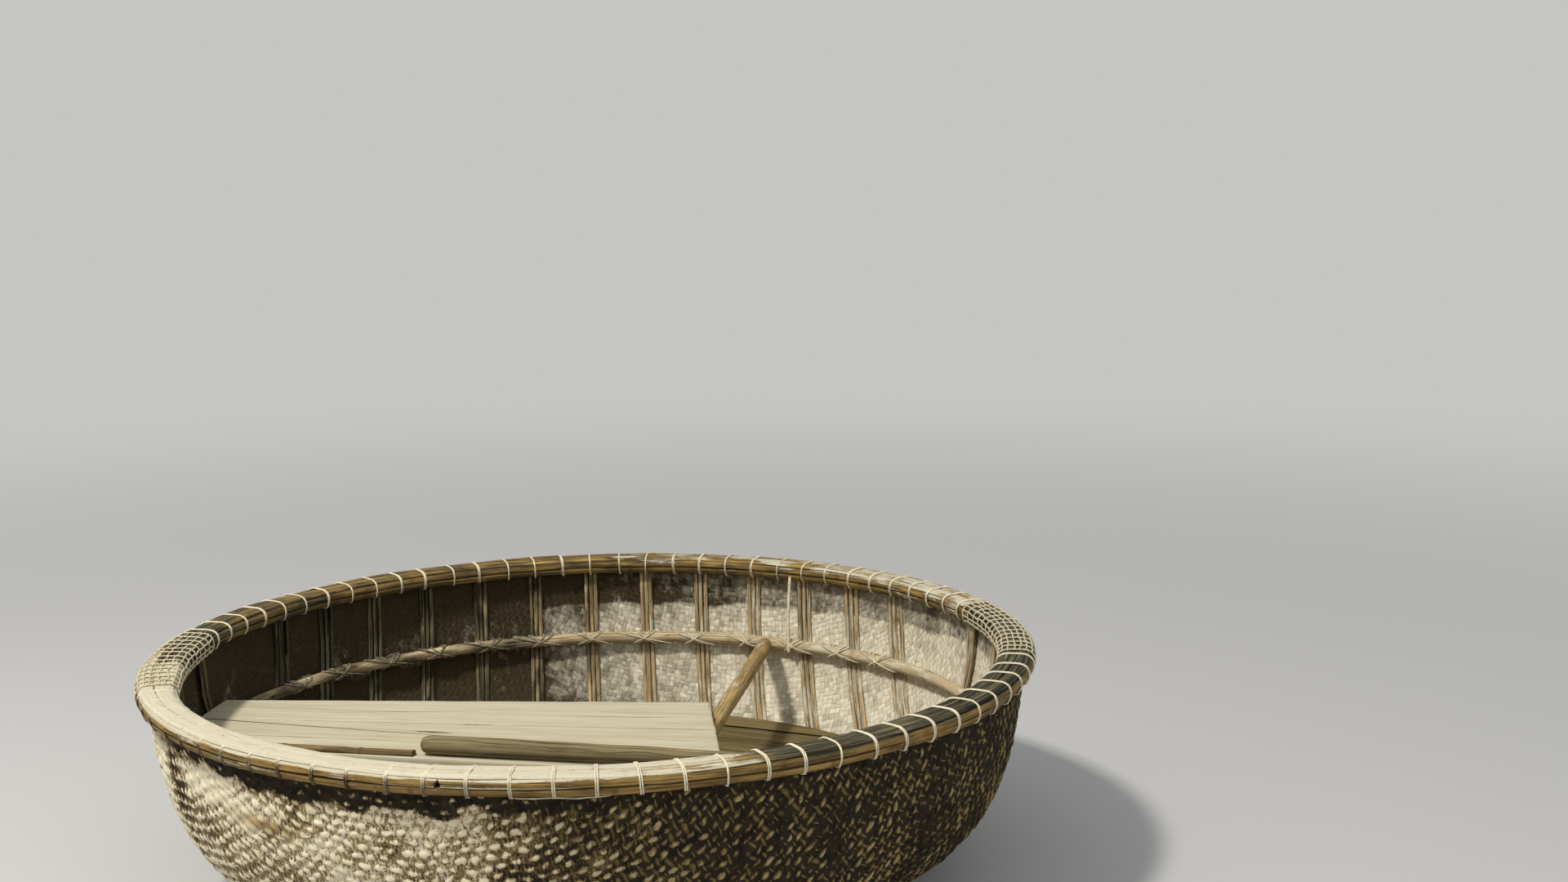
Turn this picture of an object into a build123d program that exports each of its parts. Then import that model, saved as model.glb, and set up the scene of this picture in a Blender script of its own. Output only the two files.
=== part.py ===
from build123d import *
import os
from math import cos, radians, sin, sqrt, tan

# A round woven bamboo basket boat, open on top, afloat. Millimetres, +Z up.
# The origin lies on the boat's axis at the waterline, and -Y is the side that faces the viewer.

# Whole boat
freeboard = 575.0            # rim's top above the waterline
wall_outer_radius = 1066.0   # woven mat at the rim
wall_thickness = 14.0        # mat with its coat of resin

# Basket's side, from the rim down: upright, flare, bilge, round bottom
upright_depth = 55.0         # below the rim's top
flare_radius = 720.0
flare_turn = 22.0            # degrees
bilge_radius = 300.0
bilge_turn = 37.0            # degrees
flare_runs = 2
bilge_runs = 4
bottom_runs = 4

# Rim: split bamboo hoops inside and outside the mat's edge, capped by strips
rim_height = 48.0
outer_strip_thickness = 34.0
inner_strip_thickness = 42.0
cap_thickness = 9.0
hoop_tuck = 10.0             # how far a lower strip's bottom edge draws in
cap_slope = 9.0              # how far a cap strip's top edge draws in

# Lashings over the rim. What goes round the boat is modelled in straight bays, one for each lashing
lashing_count = 78
lashing_width = 5.0
lashing_thickness = 3.0
lashing_chamfer = 12.0

# Net wrapped round the rim at both ends
net_bays = 6
net_thickness = 3.5

# Ribs of split bamboo, two crossing sets in upright planes
rib_width = 38.0
rib_thickness = 8.0
long_rib_spacing = 9.0       # degrees between rib ends along the wall
long_rib_count = 13          # ribs that run along Y
cross_rib_spacing = 9.4      # degrees
cross_rib_count = 4          # ribs that run along X, laid over the others
crossing_gap = 6.0           # the lower ribs bridge the bowl's curve by nearly this much

# Bamboo hoop inside the ribs
hoop_depth = 235.0           # its centre below the rim's top
hoop_pole_radius = 16.0
hoop_gap = 1.4               # to the ribs, which bridge the bowl's curve
pole_sides = 8

# Floor planks, cut to the wall, on three bamboo bearers
floor_depth = 431.0          # planks' top below the rim's top
plank_thickness = 18.0
plank_gap = 4.0
plank_count = 17
end_plank_share = 0.85       # width of an end plank at its widest, as a share of the others
plank_end_gap = 0.6          # to the ribs
plank_angle = -29.5          # degrees from the X axis
bearer_radius = 25.0
bearer_spacing = 480.0
fit_gap = 0.3

# Seat boards on the hoop and on a bearer
seat_board_thickness = 20.0
seat_joint_gap = 2.0
seat_end_reach = 700.0       # from the hoop's right side to the boards' free ends
seat_middle_x = -500.0       # where the boards' two edges are given
seat_far_y = 254.0
seat_far_angle = -10.0       # degrees
seat_near_y = -247.0
seat_near_angle = -18.0      # degrees
seat_joints = (0.0, 0.41, 0.72, 1.0)   # joints as shares of the seat's width
seat_bearer_inset = 48.0
seat_bearer_radius = 22.5
batten_width = 24.0
batten_height = 13.0
batten_inset = 8.0
batten_end_x = -432.0

# Paddle on the seat boards
paddle_tip_x = -405.0
paddle_inset = 37.0          # its shaft's line from the boards' near edge, at the tip
paddle_length = 1260.0
paddle_grip_radius = 24.0
paddle_neck_radius = 18.0
blade_length = 430.0
blade_width = 130.0
blade_thickness = 14.0
blade_root = 60.0            # how far the blade runs up the shaft
blade_shoulder = 90.0        # from the shaft's end to the blade's full width
blade_corner = 30.0

# Worked out from the sizes above
bay_pitch = 360.0 / lashing_count
flat_share = cos(radians(bay_pitch / 2))     # a bay's middle lies this share of a corner's radius out
wall_inner_radius = wall_outer_radius - wall_thickness
rim_outer_radius = wall_outer_radius + outer_strip_thickness
rim_inner_radius = wall_inner_radius - inner_strip_thickness

upright_z = freeboard - upright_depth
flare_centre = (wall_outer_radius - flare_radius, upright_z)
flare_end = (
    flare_centre[0] + flare_radius * cos(radians(flare_turn)),
    flare_centre[1] - flare_radius * sin(radians(flare_turn)),
)
bilge_centre = (
    flare_end[0] - bilge_radius * cos(radians(flare_turn)),
    flare_end[1] + bilge_radius * sin(radians(flare_turn)),
)
bilge_end_turn = flare_turn + bilge_turn
bottom_radius = bilge_centre[0] / cos(radians(bilge_end_turn)) + bilge_radius
bottom_centre = (0.0, bilge_centre[1] + bilge_centre[0] * tan(radians(bilge_end_turn)))

rim_bottom_z = freeboard - rim_height
cap_bottom_z = freeboard - cap_thickness
strip_joint_z = (rim_bottom_z + cap_bottom_z) / 2
rib_face_offset = wall_thickness + rib_thickness
cross_face_offset = rib_face_offset + crossing_gap + rib_thickness
hoop_z = freeboard - hoop_depth
floor_z = freeboard - floor_depth
seat_z = hoop_z + hoop_pole_radius + fit_gap
seat_top_z = seat_z + seat_board_thickness


def arc_point(centre, radius, offset, turn):
    """The point on an arc of the side, moved inwards by offset, turn degrees below the horizontal."""
    reach = radius - offset
    return (centre[0] + reach * cos(radians(turn)), centre[1] - reach * sin(radians(turn)))


def side_points(offset, top_z):
    """Points (radius, height) of the side's line from top_z down to the axis, moved inwards by offset."""
    points = [(wall_outer_radius - offset, top_z)]
    for step in range(flare_runs + 1):
        points.append(arc_point(flare_centre, flare_radius, offset, flare_turn * step / flare_runs))
    for step in range(1, bilge_runs + 1):
        turn = flare_turn + bilge_turn * step / bilge_runs
        points.append(arc_point(bilge_centre, bilge_radius, offset, turn))
    for step in range(1, bottom_runs + 1):
        turn = bilge_end_turn + (90 - bilge_end_turn) * step / bottom_runs
        points.append(arc_point(bottom_centre, bottom_radius, offset, turn))
    points[-1] = (0.0, points[-1][1])
    return points


def stepped_points(offset, top_z):
    """The side's line for the ribs laid over the others: it steps inwards in the bilge's first run."""
    at_wall = side_points(offset, top_z)
    over_ribs = side_points(offset + rib_thickness + crossing_gap, top_z)
    last_at_wall = flare_runs + 2
    return at_wall[:last_at_wall] + over_ribs[last_at_wall:]


def run_at(line, coordinate, value):
    """The run of a line that crosses a radius (coordinate 0) or a height (1), and how far along, 0 to 1."""
    for upper, lower in zip(line[:-1], line[1:]):
        if lower[coordinate] <= value <= upper[coordinate] and lower[coordinate] < upper[coordinate]:
            return upper, lower, (upper[coordinate] - value) / (upper[coordinate] - lower[coordinate])
    raise ValueError(f"no run of the side reaches {value}")


def radius_at(offset, height):
    """How far from the axis there is room at a height, inside the side's line moved inwards by offset."""
    upper, lower, share = run_at(side_points(offset, freeboard), 1, height)
    return (upper[0] + (lower[0] - upper[0]) * share) * flat_share


def hoop_radius():
    """Radius of the hoop's centre line, its pole against the ribs, which lean inwards below it."""
    return radius_at(rib_face_offset, hoop_z - hoop_pole_radius / 2) - hoop_pole_radius - hoop_gap


def around(angle, shape):
    return Rot(0, 0, angle) * shape


def flat_faces(corners):
    """The flat face of a ring of corners, or two triangles where four corners don't lie in one plane."""
    first, second, third = (Vector(*corner) for corner in corners[:3])
    normal = (second - first).cross(third - first)
    if len(corners) == 4 and abs(normal.dot(Vector(*corners[3]) - first)) > 1e-6 * normal.length:
        return flat_faces(corners[:3]) + flat_faces([corners[0], corners[2], corners[3]])
    return [Face(Wire.make_polygon(corners, close=True))]


def carried(sections, closed=False):
    """The solid through sections, each a ring of as many corners, with straight lines from corner to corner."""
    faces = []
    following = sections[1:] + sections[:1] if closed else sections[1:]
    for section, onward in zip(sections, following):
        for index in range(len(section)):
            corners = []
            for corner in (section[index - 1], section[index], onward[index], onward[index - 1]):
                if corner not in corners:
                    corners.append(corner)
            if len(corners) > 2:
                faces += flat_faces(corners)
    if not closed:
        faces += flat_faces(sections[0]) + flat_faces(sections[-1])
    return Solid(Shell(faces))


def ring(outline, first_bay=0, bays=lashing_count):
    """An outline in radius and height carried round the axis in straight bays."""
    whole = bays == lashing_count
    sections = []
    for bay in range(first_bay, first_bay + bays + (0 if whole else 1)):
        along, out = cos(radians(bay * bay_pitch)), sin(radians(bay * bay_pitch))
        sections.append([(radius * along, radius * out, height) for radius, height in outline])
    return carried(sections, closed=whole)


def pole_section(radius):
    """A pole's section, its flat sides one radius from its middle, one of them on top."""
    return RegularPolygon(radius, pole_sides, major_radius=False, rotation=180 / pole_sides)


def pole(radius, length):
    """A straight pole along X from the origin."""
    return extrude(Plane.YZ * pole_section(radius), length)


def round_block(radius, bottom_z, height):
    """An upright block as round as the boat's bays, with room for it inside a circle of this radius."""
    return Pos(0, 0, bottom_z) * extrude(RegularPolygon(radius, lashing_count), height)


# Basket

def hull_basket():
    return ring(side_points(0, cap_bottom_z) + side_points(wall_thickness, cap_bottom_z)[::-1])


# Rim

def rim_strips():
    """Each strip of the rim: a node name and its outline in radius and height."""
    outer, inner = rim_outer_radius, rim_inner_radius
    middle = wall_outer_radius - wall_thickness / 2
    return {
        "rim_outer_strip_lower": [
            (wall_outer_radius, rim_bottom_z), (outer - hoop_tuck, rim_bottom_z),
            (outer, strip_joint_z), (wall_outer_radius, strip_joint_z),
        ],
        "rim_outer_strip_upper": [
            (wall_outer_radius, strip_joint_z), (outer, strip_joint_z),
            (outer - cap_slope / 3, cap_bottom_z), (wall_outer_radius, cap_bottom_z),
        ],
        "rim_inner_strip_lower": [
            (wall_inner_radius, rim_bottom_z), (wall_inner_radius, strip_joint_z),
            (inner, strip_joint_z), (inner + hoop_tuck, rim_bottom_z),
        ],
        "rim_inner_strip_upper": [
            (wall_inner_radius, strip_joint_z), (wall_inner_radius, cap_bottom_z),
            (inner + cap_slope / 3, cap_bottom_z), (inner, strip_joint_z),
        ],
        "rim_cap_strip_outer": [
            (middle, cap_bottom_z), (outer - cap_slope / 3, cap_bottom_z),
            (outer - cap_slope - cap_thickness, freeboard), (middle, freeboard),
        ],
        "rim_cap_strip_inner": [
            (middle, cap_bottom_z), (middle, freeboard),
            (inner + cap_slope + cap_thickness, freeboard), (inner + cap_slope / 3, cap_bottom_z),
        ],
    }


def saddle_outline(outer_radius, inner_radius, thickness):
    """A band laid over the rim from edge to edge, as an outline in radius and height."""
    lines = []
    for lift in (fit_gap, fit_gap + thickness):
        outer = outer_radius + lift
        inner = inner_radius - lift
        top = freeboard + lift
        lines.append([
            (outer, rim_bottom_z), (outer, top - lashing_chamfer), (outer - lashing_chamfer, top),
            (inner + lashing_chamfer, top), (inner, top - lashing_chamfer), (inner, rim_bottom_z),
        ])
    return lines[1] + lines[0][::-1]


def rim_lashings():
    """A band in the middle of each bay that no net covers."""
    outline = saddle_outline(rim_outer_radius * flat_share, rim_inner_radius * flat_share, lashing_thickness)
    band = extrude(Plane.XZ * make_face(Polyline(*outline, close=True)), lashing_width / 2, both=True)
    half_turn = lashing_count // 2
    bare_bays = range(net_bays // 2, half_turn - net_bays // 2)
    return Compound([
        around((bay + side * half_turn + 0.5) * bay_pitch, band) for side in (0, 1) for bay in bare_bays
    ])


def rim_net(middle_bay):
    return ring(saddle_outline(rim_outer_radius, rim_inner_radius, net_thickness), middle_bay - net_bays // 2, net_bays)


# Ribs and hoop

def cut_line(line, stations, across):
    """A side's line where an upright plane, across from the axis, cuts the bowl: along and height, rim to rim."""
    half = [(sqrt((line[index][0] * flat_share) ** 2 - across**2), line[index][1]) for index in stations]
    for along in (half[-1][0] / 2, 0.0):
        upper, lower, share = run_at(line, 0, sqrt(along**2 + across**2) / flat_share)
        half.append((along, upper[1] + (lower[1] - upper[1]) * share))
    return half + [(-along, height) for along, height in reversed(half[:-1])]


def rib(wall_line, face_line, place):
    """One rib, its width across X, from rim to rim along Y."""
    furthest = abs(place) + rib_width / 2
    stations = [index for index in range(len(face_line)) if face_line[index][0] * flat_share > furthest]
    sections = []
    for across in (place - rib_width / 2, place + rib_width / 2):
        outline = cut_line(wall_line, stations, across) + cut_line(face_line, stations, across)[::-1]
        sections.append([(across, along, height) for along, height in outline])
    return carried(sections)


def rib_places(count, spacing):
    return [wall_inner_radius * sin(radians((index - (count - 1) / 2) * spacing)) for index in range(count)]


def long_ribs():
    wall_line = side_points(wall_thickness, rim_bottom_z)
    face_line = side_points(rib_face_offset, rim_bottom_z)
    return Compound([rib(wall_line, face_line, place) for place in rib_places(long_rib_count, long_rib_spacing)])


def cross_ribs():
    wall_line = stepped_points(wall_thickness, rim_bottom_z)
    face_line = stepped_points(rib_face_offset, rim_bottom_z)
    places = rib_places(cross_rib_count, cross_rib_spacing)
    return Compound([around(90, rib(wall_line, face_line, place)) for place in places])


def stringer_hoop():
    section = Pos(hoop_radius(), hoop_z) * pole_section(hoop_pole_radius)
    return ring([(corner.X, corner.Y) for corner in section.vertices()])


# Floor

def floor_planks():
    """Planks cut to the round between the cross ribs. The end planks go on to the ribs behind those."""
    bottom_z = floor_z - plank_thickness
    floor_radius = radius_at(cross_face_offset + plank_end_gap, bottom_z)
    end_radius = radius_at(rib_face_offset + plank_end_gap, bottom_z)
    pitch = (floor_radius + end_radius) / (plank_count - 2 + 2 * end_plank_share)
    planks = {}
    for index in range(plank_count):
        place = (index - (plank_count - 1) / 2) * pitch
        radius = end_radius if index in (0, plank_count - 1) else floor_radius
        strip = Pos(0, place, floor_z) * Box(3 * radius, pitch - plank_gap, 3 * plank_thickness)
        plank = around(-plank_angle, round_block(radius, bottom_z, plank_thickness)) & strip
        planks[f"floor_plank_{index + 1:02d}"] = around(plank_angle, plank)
    return planks


def floor_bearers():
    """Poles under the planks, at right angles to them, as long as the bowl has room for."""
    centre_z = floor_z - plank_thickness - fit_gap - bearer_radius
    room = radius_at(cross_face_offset + fit_gap, centre_z - bearer_radius)
    bearers = []
    for place in (-bearer_spacing, 0, bearer_spacing):
        half_length = sqrt(room**2 - (abs(place) + bearer_radius) ** 2)
        bar = pole(bearer_radius, 2 * half_length)
        bearers.append(around(plank_angle + 90, Pos(-half_length, place, centre_z) * bar))
    return Compound(bearers)


# Seat

def edge_y(share, x):
    """The seat's line at a share of its width, 0 at the far edge, at x."""
    far = seat_far_y + (x - seat_middle_x) * tan(radians(seat_far_angle))
    near = seat_near_y + (x - seat_middle_x) * tan(radians(seat_near_angle))
    return far + (near - far) * share


def inside_ribs():
    """A round block that fits between the ribs at the seat's height."""
    return round_block(radius_at(rib_face_offset + hoop_gap, seat_z), hoop_z, freeboard)


def seat_end_x():
    return hoop_radius() - seat_end_reach


def seat_boards():
    boards = {}
    left, right = -wall_outer_radius, seat_end_x()
    for index, (start, end) in enumerate(zip(seat_joints[:-1], seat_joints[1:])):
        half = seat_joint_gap / 2
        corners = [
            (left, edge_y(start, left) - half), (right, edge_y(start, right) - half),
            (right, edge_y(end, right) + half), (left, edge_y(end, left) + half),
        ]
        outline = Pos(0, 0, seat_z) * make_face(Polyline(*corners, close=True))
        boards[f"seat_board_{index + 1}"] = extrude(outline, seat_board_thickness) & inside_ribs()
    return boards


def seat_bearer():
    """A pole from one side of the hoop to the other, under the boards' free ends."""
    lean = (seat_far_angle + seat_near_angle) / 2
    x = seat_end_x() - seat_bearer_inset
    centre_z = seat_z - fit_gap - seat_bearer_radius
    bar = Pos(-rim_outer_radius, 0, 0) * pole(seat_bearer_radius, 2 * rim_outer_radius)
    inside_hoop = round_block(hoop_radius() - hoop_pole_radius - fit_gap, 0, freeboard)
    return Pos(x, edge_y(0.5, x), centre_z) * around(90 + lean, bar) & inside_hoop


def seat_batten():
    """Half a bamboo laid along the near edge, on the boards."""
    half, shoulder = batten_width / 2, batten_width / 4
    left = -wall_outer_radius
    start_y = edge_y(1, left) + batten_inset + half
    outline = make_face(Polyline(
        (-half, 0), (half, 0), (half, batten_height / 2), (shoulder, batten_height), (-shoulder, batten_height),
        (-half, batten_height / 2), close=True,
    ))
    length = (batten_end_x - left) / cos(radians(seat_near_angle))
    bar = Pos(left, start_y, seat_top_z + fit_gap) * around(seat_near_angle, extrude(Plane.YZ * outline, length))
    return bar & inside_ribs()


# Paddle

def paddle():
    """Shaft tapering from the rounded grip to the blade, laid on the boards along their near edge."""
    shaft_length = paddle_length - blade_length
    rounding = paddle_grip_radius / 2
    rings = ((-rounding, rounding), (0, paddle_grip_radius), (shaft_length, paddle_neck_radius))
    shaft = loft([Plane.YZ * Pos(0, 0, along) * pole_section(size) for along, size in rings], ruled=True)
    half = [
        (shaft_length - blade_root, paddle_neck_radius), (shaft_length + blade_shoulder, blade_width / 2),
        (paddle_length - blade_corner, blade_width / 2), (paddle_length, blade_width / 3),
    ]
    outline = half + [(along, -across) for along, across in reversed(half)]
    blade = extrude(make_face(Polyline(*outline, close=True)), blade_thickness / 2, both=True)
    height = seat_top_z + fit_gap + paddle_grip_radius
    place = Pos(paddle_tip_x, edge_y(1, paddle_tip_x) + paddle_inset, height)
    return place * around(seat_near_angle, shaft + blade)


def write(name, shape):
    shape.label = name
    export_step(shape, f"parts/{name}.step")


def main():
    os.makedirs("parts", exist_ok=True)
    write("hull_basket", hull_basket())
    for name, outline in rim_strips().items():
        write(name, ring(outline))
    write("rim_lashings", rim_lashings())
    write("rim_net_left", rim_net(lashing_count // 2))
    write("rim_net_right", rim_net(0))
    write("long_ribs", long_ribs())
    write("cross_ribs", cross_ribs())
    write("stringer_hoop", stringer_hoop())
    for name, plank in floor_planks().items():
        write(name, plank)
    write("floor_bearers", floor_bearers())
    for name, board in seat_boards().items():
        write(name, board)
    write("seat_bearer", seat_bearer())
    write("seat_batten", seat_batten())
    write("paddle", paddle())


main()
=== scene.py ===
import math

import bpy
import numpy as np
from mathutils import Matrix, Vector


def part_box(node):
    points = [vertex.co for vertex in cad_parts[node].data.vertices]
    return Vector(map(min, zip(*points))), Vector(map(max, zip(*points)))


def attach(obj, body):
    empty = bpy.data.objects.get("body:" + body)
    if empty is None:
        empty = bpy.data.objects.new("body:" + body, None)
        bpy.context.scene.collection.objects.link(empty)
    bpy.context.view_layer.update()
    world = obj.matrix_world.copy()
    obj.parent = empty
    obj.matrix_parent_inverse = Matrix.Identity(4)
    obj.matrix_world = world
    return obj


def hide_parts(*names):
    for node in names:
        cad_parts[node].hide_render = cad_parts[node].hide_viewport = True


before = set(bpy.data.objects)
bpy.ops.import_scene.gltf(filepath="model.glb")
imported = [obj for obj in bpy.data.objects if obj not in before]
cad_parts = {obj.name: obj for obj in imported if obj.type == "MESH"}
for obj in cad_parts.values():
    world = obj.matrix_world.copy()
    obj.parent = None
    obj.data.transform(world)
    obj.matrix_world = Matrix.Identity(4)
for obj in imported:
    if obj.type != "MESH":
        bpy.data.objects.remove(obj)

# %% [markdown]
# A round basket boat, dressed
#
# The frame above holds the boat as plain solids: a bowl, rim strips, ribs, a hoop, a floor and a seat.
# Here each of them gets the surface of the real thing. The bowl is a mat of split bamboo, so it becomes a
# field of small raised crowns. The rim becomes bamboo with nodes, splits and twine. New surfaces are grids
# of points that numpy works out from a formula, because a weave or a rim is one rule repeated many times.

TURN = 2 * math.pi
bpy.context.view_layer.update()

# %% [markdown]
# Sizes come from the frame wherever it can give them, so that the looks follow the solids. Only what a box
# around a solid can't tell, such as the arcs of the bowl's side, is written here, in metres and degrees.
# Angles go round the boat from the right-hand side (+X), and the viewer's side is at 270 degrees.

# %% Sizes of the rim and the bowl
rim_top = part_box("rim_cap_strip_outer")[1][2]
cap_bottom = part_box("rim_cap_strip_outer")[0][2]
rim_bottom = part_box("rim_outer_strip_lower")[0][2]
strip_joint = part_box("rim_outer_strip_lower")[1][2]
rim_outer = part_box("rim_outer_strip_upper")[1][0]
wall_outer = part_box("hull_basket")[1][0]
wall_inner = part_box("rim_inner_strip_upper")[1][0]
rim_inner = wall_inner - 0.042
bays = 78

upright = 0.055
flare_radius, flare_turn = 0.720, math.radians(22)
bilge_radius, bilge_turn = 0.300, math.radians(37)
print("rim radius", round(rim_outer, 4), "wall", round(wall_inner, 4), "to", round(wall_outer, 4))

# %% [markdown]
# The bowl's side runs down from the rim: a short upright part, a wide arc, a tighter arc at the bilge and a
# shallow round bottom. One parameter, the distance walked down the side, gives the point and the slope.

# %% The bowl's side
flare_centre = (wall_outer - flare_radius, rim_top - upright)
flare_end = (
    flare_centre[0] + flare_radius * math.cos(flare_turn),
    flare_centre[1] - flare_radius * math.sin(flare_turn),
)
bilge_centre = (
    flare_end[0] - bilge_radius * math.cos(flare_turn),
    flare_end[1] + bilge_radius * math.sin(flare_turn),
)
bottom_turn = flare_turn + bilge_turn
bottom_radius = bilge_centre[0] / math.cos(bottom_turn) + bilge_radius
bottom_centre = (0.0, bilge_centre[1] + bilge_centre[0] * math.tan(bottom_turn))
flare_start = cap_bottom - flare_centre[1]
bilge_start = flare_start + flare_radius * flare_turn
bottom_start = bilge_start + bilge_radius * bilge_turn
side_length = bottom_start + bottom_radius * (math.pi / 2 - bottom_turn)


def side(walked, inset=0.0):
    """Radius, height and slope (0 upright, 90 degrees flat) of the bowl's side, a distance walked down it.

    Each arc: centre plus (arc radius less inset) times (cos, -sin) of the slope.
    """
    walked = np.clip(walked, 0.0, side_length)
    in_flare = walked < bilge_start
    in_bilge = walked < bottom_start
    slope = np.where(
        in_flare,
        np.clip((walked - flare_start) / flare_radius, 0, None),
        np.where(
            in_bilge,
            flare_turn + (walked - bilge_start) / bilge_radius,
            bottom_turn + (walked - bottom_start) / bottom_radius,
        ),
    )
    centre_r = np.where(in_flare, flare_centre[0], np.where(in_bilge, bilge_centre[0], bottom_centre[0]))
    centre_z = np.where(in_flare, flare_centre[1], np.where(in_bilge, bilge_centre[1], bottom_centre[1]))
    arc = np.where(in_flare, flare_radius, np.where(in_bilge, bilge_radius, bottom_radius)) - inset
    above = np.clip(flare_start - walked, 0, None)
    return centre_r + arc * np.cos(slope), centre_z - arc * np.sin(slope) + above, slope


def walk_to(height, inset=0.0):
    """The distance down the side at which it reaches a height, read off a fine table of the side."""
    steps = np.linspace(0, side_length, 2000)
    return float(np.interp(-height, -side(steps, inset)[1], steps))


print("side", round(side_length, 3), "m long, waterline at", round(walk_to(0.0), 3), "m down")

# %% [markdown]
# Three small helpers make every mesh. `grid` lists the four-cornered faces of a grid of points, `place`
# puts points and faces into a mesh with its attributes, and `tube` carries a ring along a path for twine
# and poles. An attribute is a number at each point, which a material can read: it is how a weave's crowns
# are drawn sharp without any picture. Every face has to look out of its solid. A grid's faces look along
# (way of the rows) x (way of the columns), so each shape that would look inwards turns them over.

# %% Mesh helpers
def grid(rows, columns, wrap_columns=False):
    """Faces of a grid whose point (row, column) has the number row * columns + column.

    They look along (way of the rows) x (way of the columns), and [:, ::-1] turns them over.
    """
    row = np.arange(rows - 1)[:, None]
    column = np.arange(columns if wrap_columns else columns - 1)[None, :]
    next_row, next_column = row + 1, (column + 1) % columns
    corners = [row * columns + next_column, row * columns + column,
               next_row * columns + column, next_row * columns + next_column]
    return np.stack(corners, axis=-1).reshape(-1, 4)


def joined(parts):
    """Several (points, faces, attributes) as one, with the faces' numbers moved on."""
    points = np.concatenate([part[0] for part in parts])
    starts = np.cumsum([0] + [len(part[0]) for part in parts[:-1]])
    faces = np.concatenate([part[1] + start for part, start in zip(parts, starts)])
    names = parts[0][2].keys()
    return points, faces, {name: np.concatenate([part[2][name] for part in parts]) for name in names}


def place(name, part, material, replaces=(), caps=(), smooth=True):
    """Makes the object: points and four-cornered faces, caps with any number of corners, attributes."""
    points, faces, attributes = part
    corners = np.concatenate([faces.ravel()] + [np.asarray(cap) for cap in caps]).astype(np.int32)
    sizes = np.concatenate([np.full(len(faces), 4), [len(cap) for cap in caps]]).astype(np.int32)
    mesh = bpy.data.meshes.new(name)
    mesh.vertices.add(len(points))
    mesh.vertices.foreach_set("co", np.ascontiguousarray(points, dtype=np.float32).ravel())
    mesh.loops.add(len(corners))
    mesh.loops.foreach_set("vertex_index", corners)
    mesh.polygons.add(len(sizes))
    mesh.polygons.foreach_set("loop_start", np.cumsum(sizes, dtype=np.int32) - sizes)
    for key, values in attributes.items():
        stored = mesh.attributes.new(key, "FLOAT", "POINT")
        stored.data.foreach_set("value", values.astype(np.float32).ravel())
    mesh.update(calc_edges=True)
    mesh.validate()
    mesh.polygons.foreach_set("use_smooth", np.arange(len(mesh.polygons)) < (len(faces) if smooth else 0))
    mesh.materials.append(material)
    piece = bpy.data.objects.new(name, mesh)
    bpy.context.scene.collection.objects.link(piece)
    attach(piece, "root")
    if replaces:
        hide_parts(*replaces)
    print(f"{name}: {len(points)} points")


def unit(vectors):
    """The same directions, each 1 long."""
    return vectors / np.linalg.norm(vectors, axis=-1, keepdims=True)


def walked_along(path):
    """Metres walked from the path's start to each of its points."""
    return np.concatenate([[0], np.cumsum(np.linalg.norm(np.diff(path, axis=0), axis=1))])


def tube(path, radius, aside, sides=6):
    """A ring carried along a path: path + radius * (cos a * aside + sin a * (along x aside)).

    Gives the points, the faces and, at each point, `along` (metres down the path) and `around` (0 to 1).
    """
    following = np.roll(path, -1, axis=0) - np.roll(path, 1, axis=0)
    following[0], following[-1] = path[1] - path[0], path[-1] - path[-2]
    along = unit(following)
    aside = unit(aside - along * np.sum(aside * along, axis=-1, keepdims=True))
    other = np.cross(along, aside)
    turns = np.linspace(0, TURN, sides, endpoint=False)
    radius = np.broadcast_to(radius, len(path))[:, None, None]
    ring = np.cos(turns)[None, :, None] * aside[:, None] + np.sin(turns)[None, :, None] * other[:, None]
    points = (path[:, None] + radius * ring).reshape(-1, 3)
    attributes = {
        "along": np.repeat(walked_along(path), sides),
        "around": np.tile(turns / TURN, len(path)),
    }
    return points, grid(len(path), sides, wrap_columns=True)[:, ::-1], attributes


# %% [markdown]
# Weathering is never regular, so many shapes need noise that is the same on each run. `ripple` adds a few
# sine waves whose directions come from a seeded generator, and `scatter` turns whole numbers, such as a
# crown's row and column, into a fixed random share between 0 and 1.

# %% Noise that repeats on each run
def ripple(seed, first, second, size, waves=7):
    """Smooth noise between about -1 and 1: the mean of sine waves of several lengths near size."""
    chance = np.random.default_rng(seed)
    total = 0.0
    for _ in range(waves):
        angle = chance.uniform(0, TURN)
        length = size * chance.uniform(0.5, 1.6)
        shift = chance.uniform(0, TURN)
        total = total + np.sin((first * math.cos(angle) + second * math.sin(angle)) * TURN / length + shift)
    return total / math.sqrt(waves) / 1.2


def scatter(first, second, seed=0):
    """A fixed random share for each pair of whole numbers: the fraction of a large sine."""
    value = np.sin(first * 127.1 + second * 311.7 + seed * 74.7) * 43758.5453
    return value - np.floor(value)


def smooth_step(low, high, value):
    """0 below `low`, 1 above `high`, and 3 s^2 - 2 s^3 of the share s in between."""
    share = np.clip((value - low) / (high - low), 0, 1)
    return share * share * (3 - 2 * share)


# %% [markdown]
# The camera stands where the photograph was taken: 5.5 m from the rim's middle, 14 degrees above it, with a
# 50 mm lens, and the boat low and left in the frame. The turns after that aim it off the boat's middle.

# %% Camera
view_distance, view_rise = 5.4936, math.radians(13.989)
view_pan, view_tilt, view_roll = math.radians(5.2118), math.radians(5.0700), math.radians(-2.2837)

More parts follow.
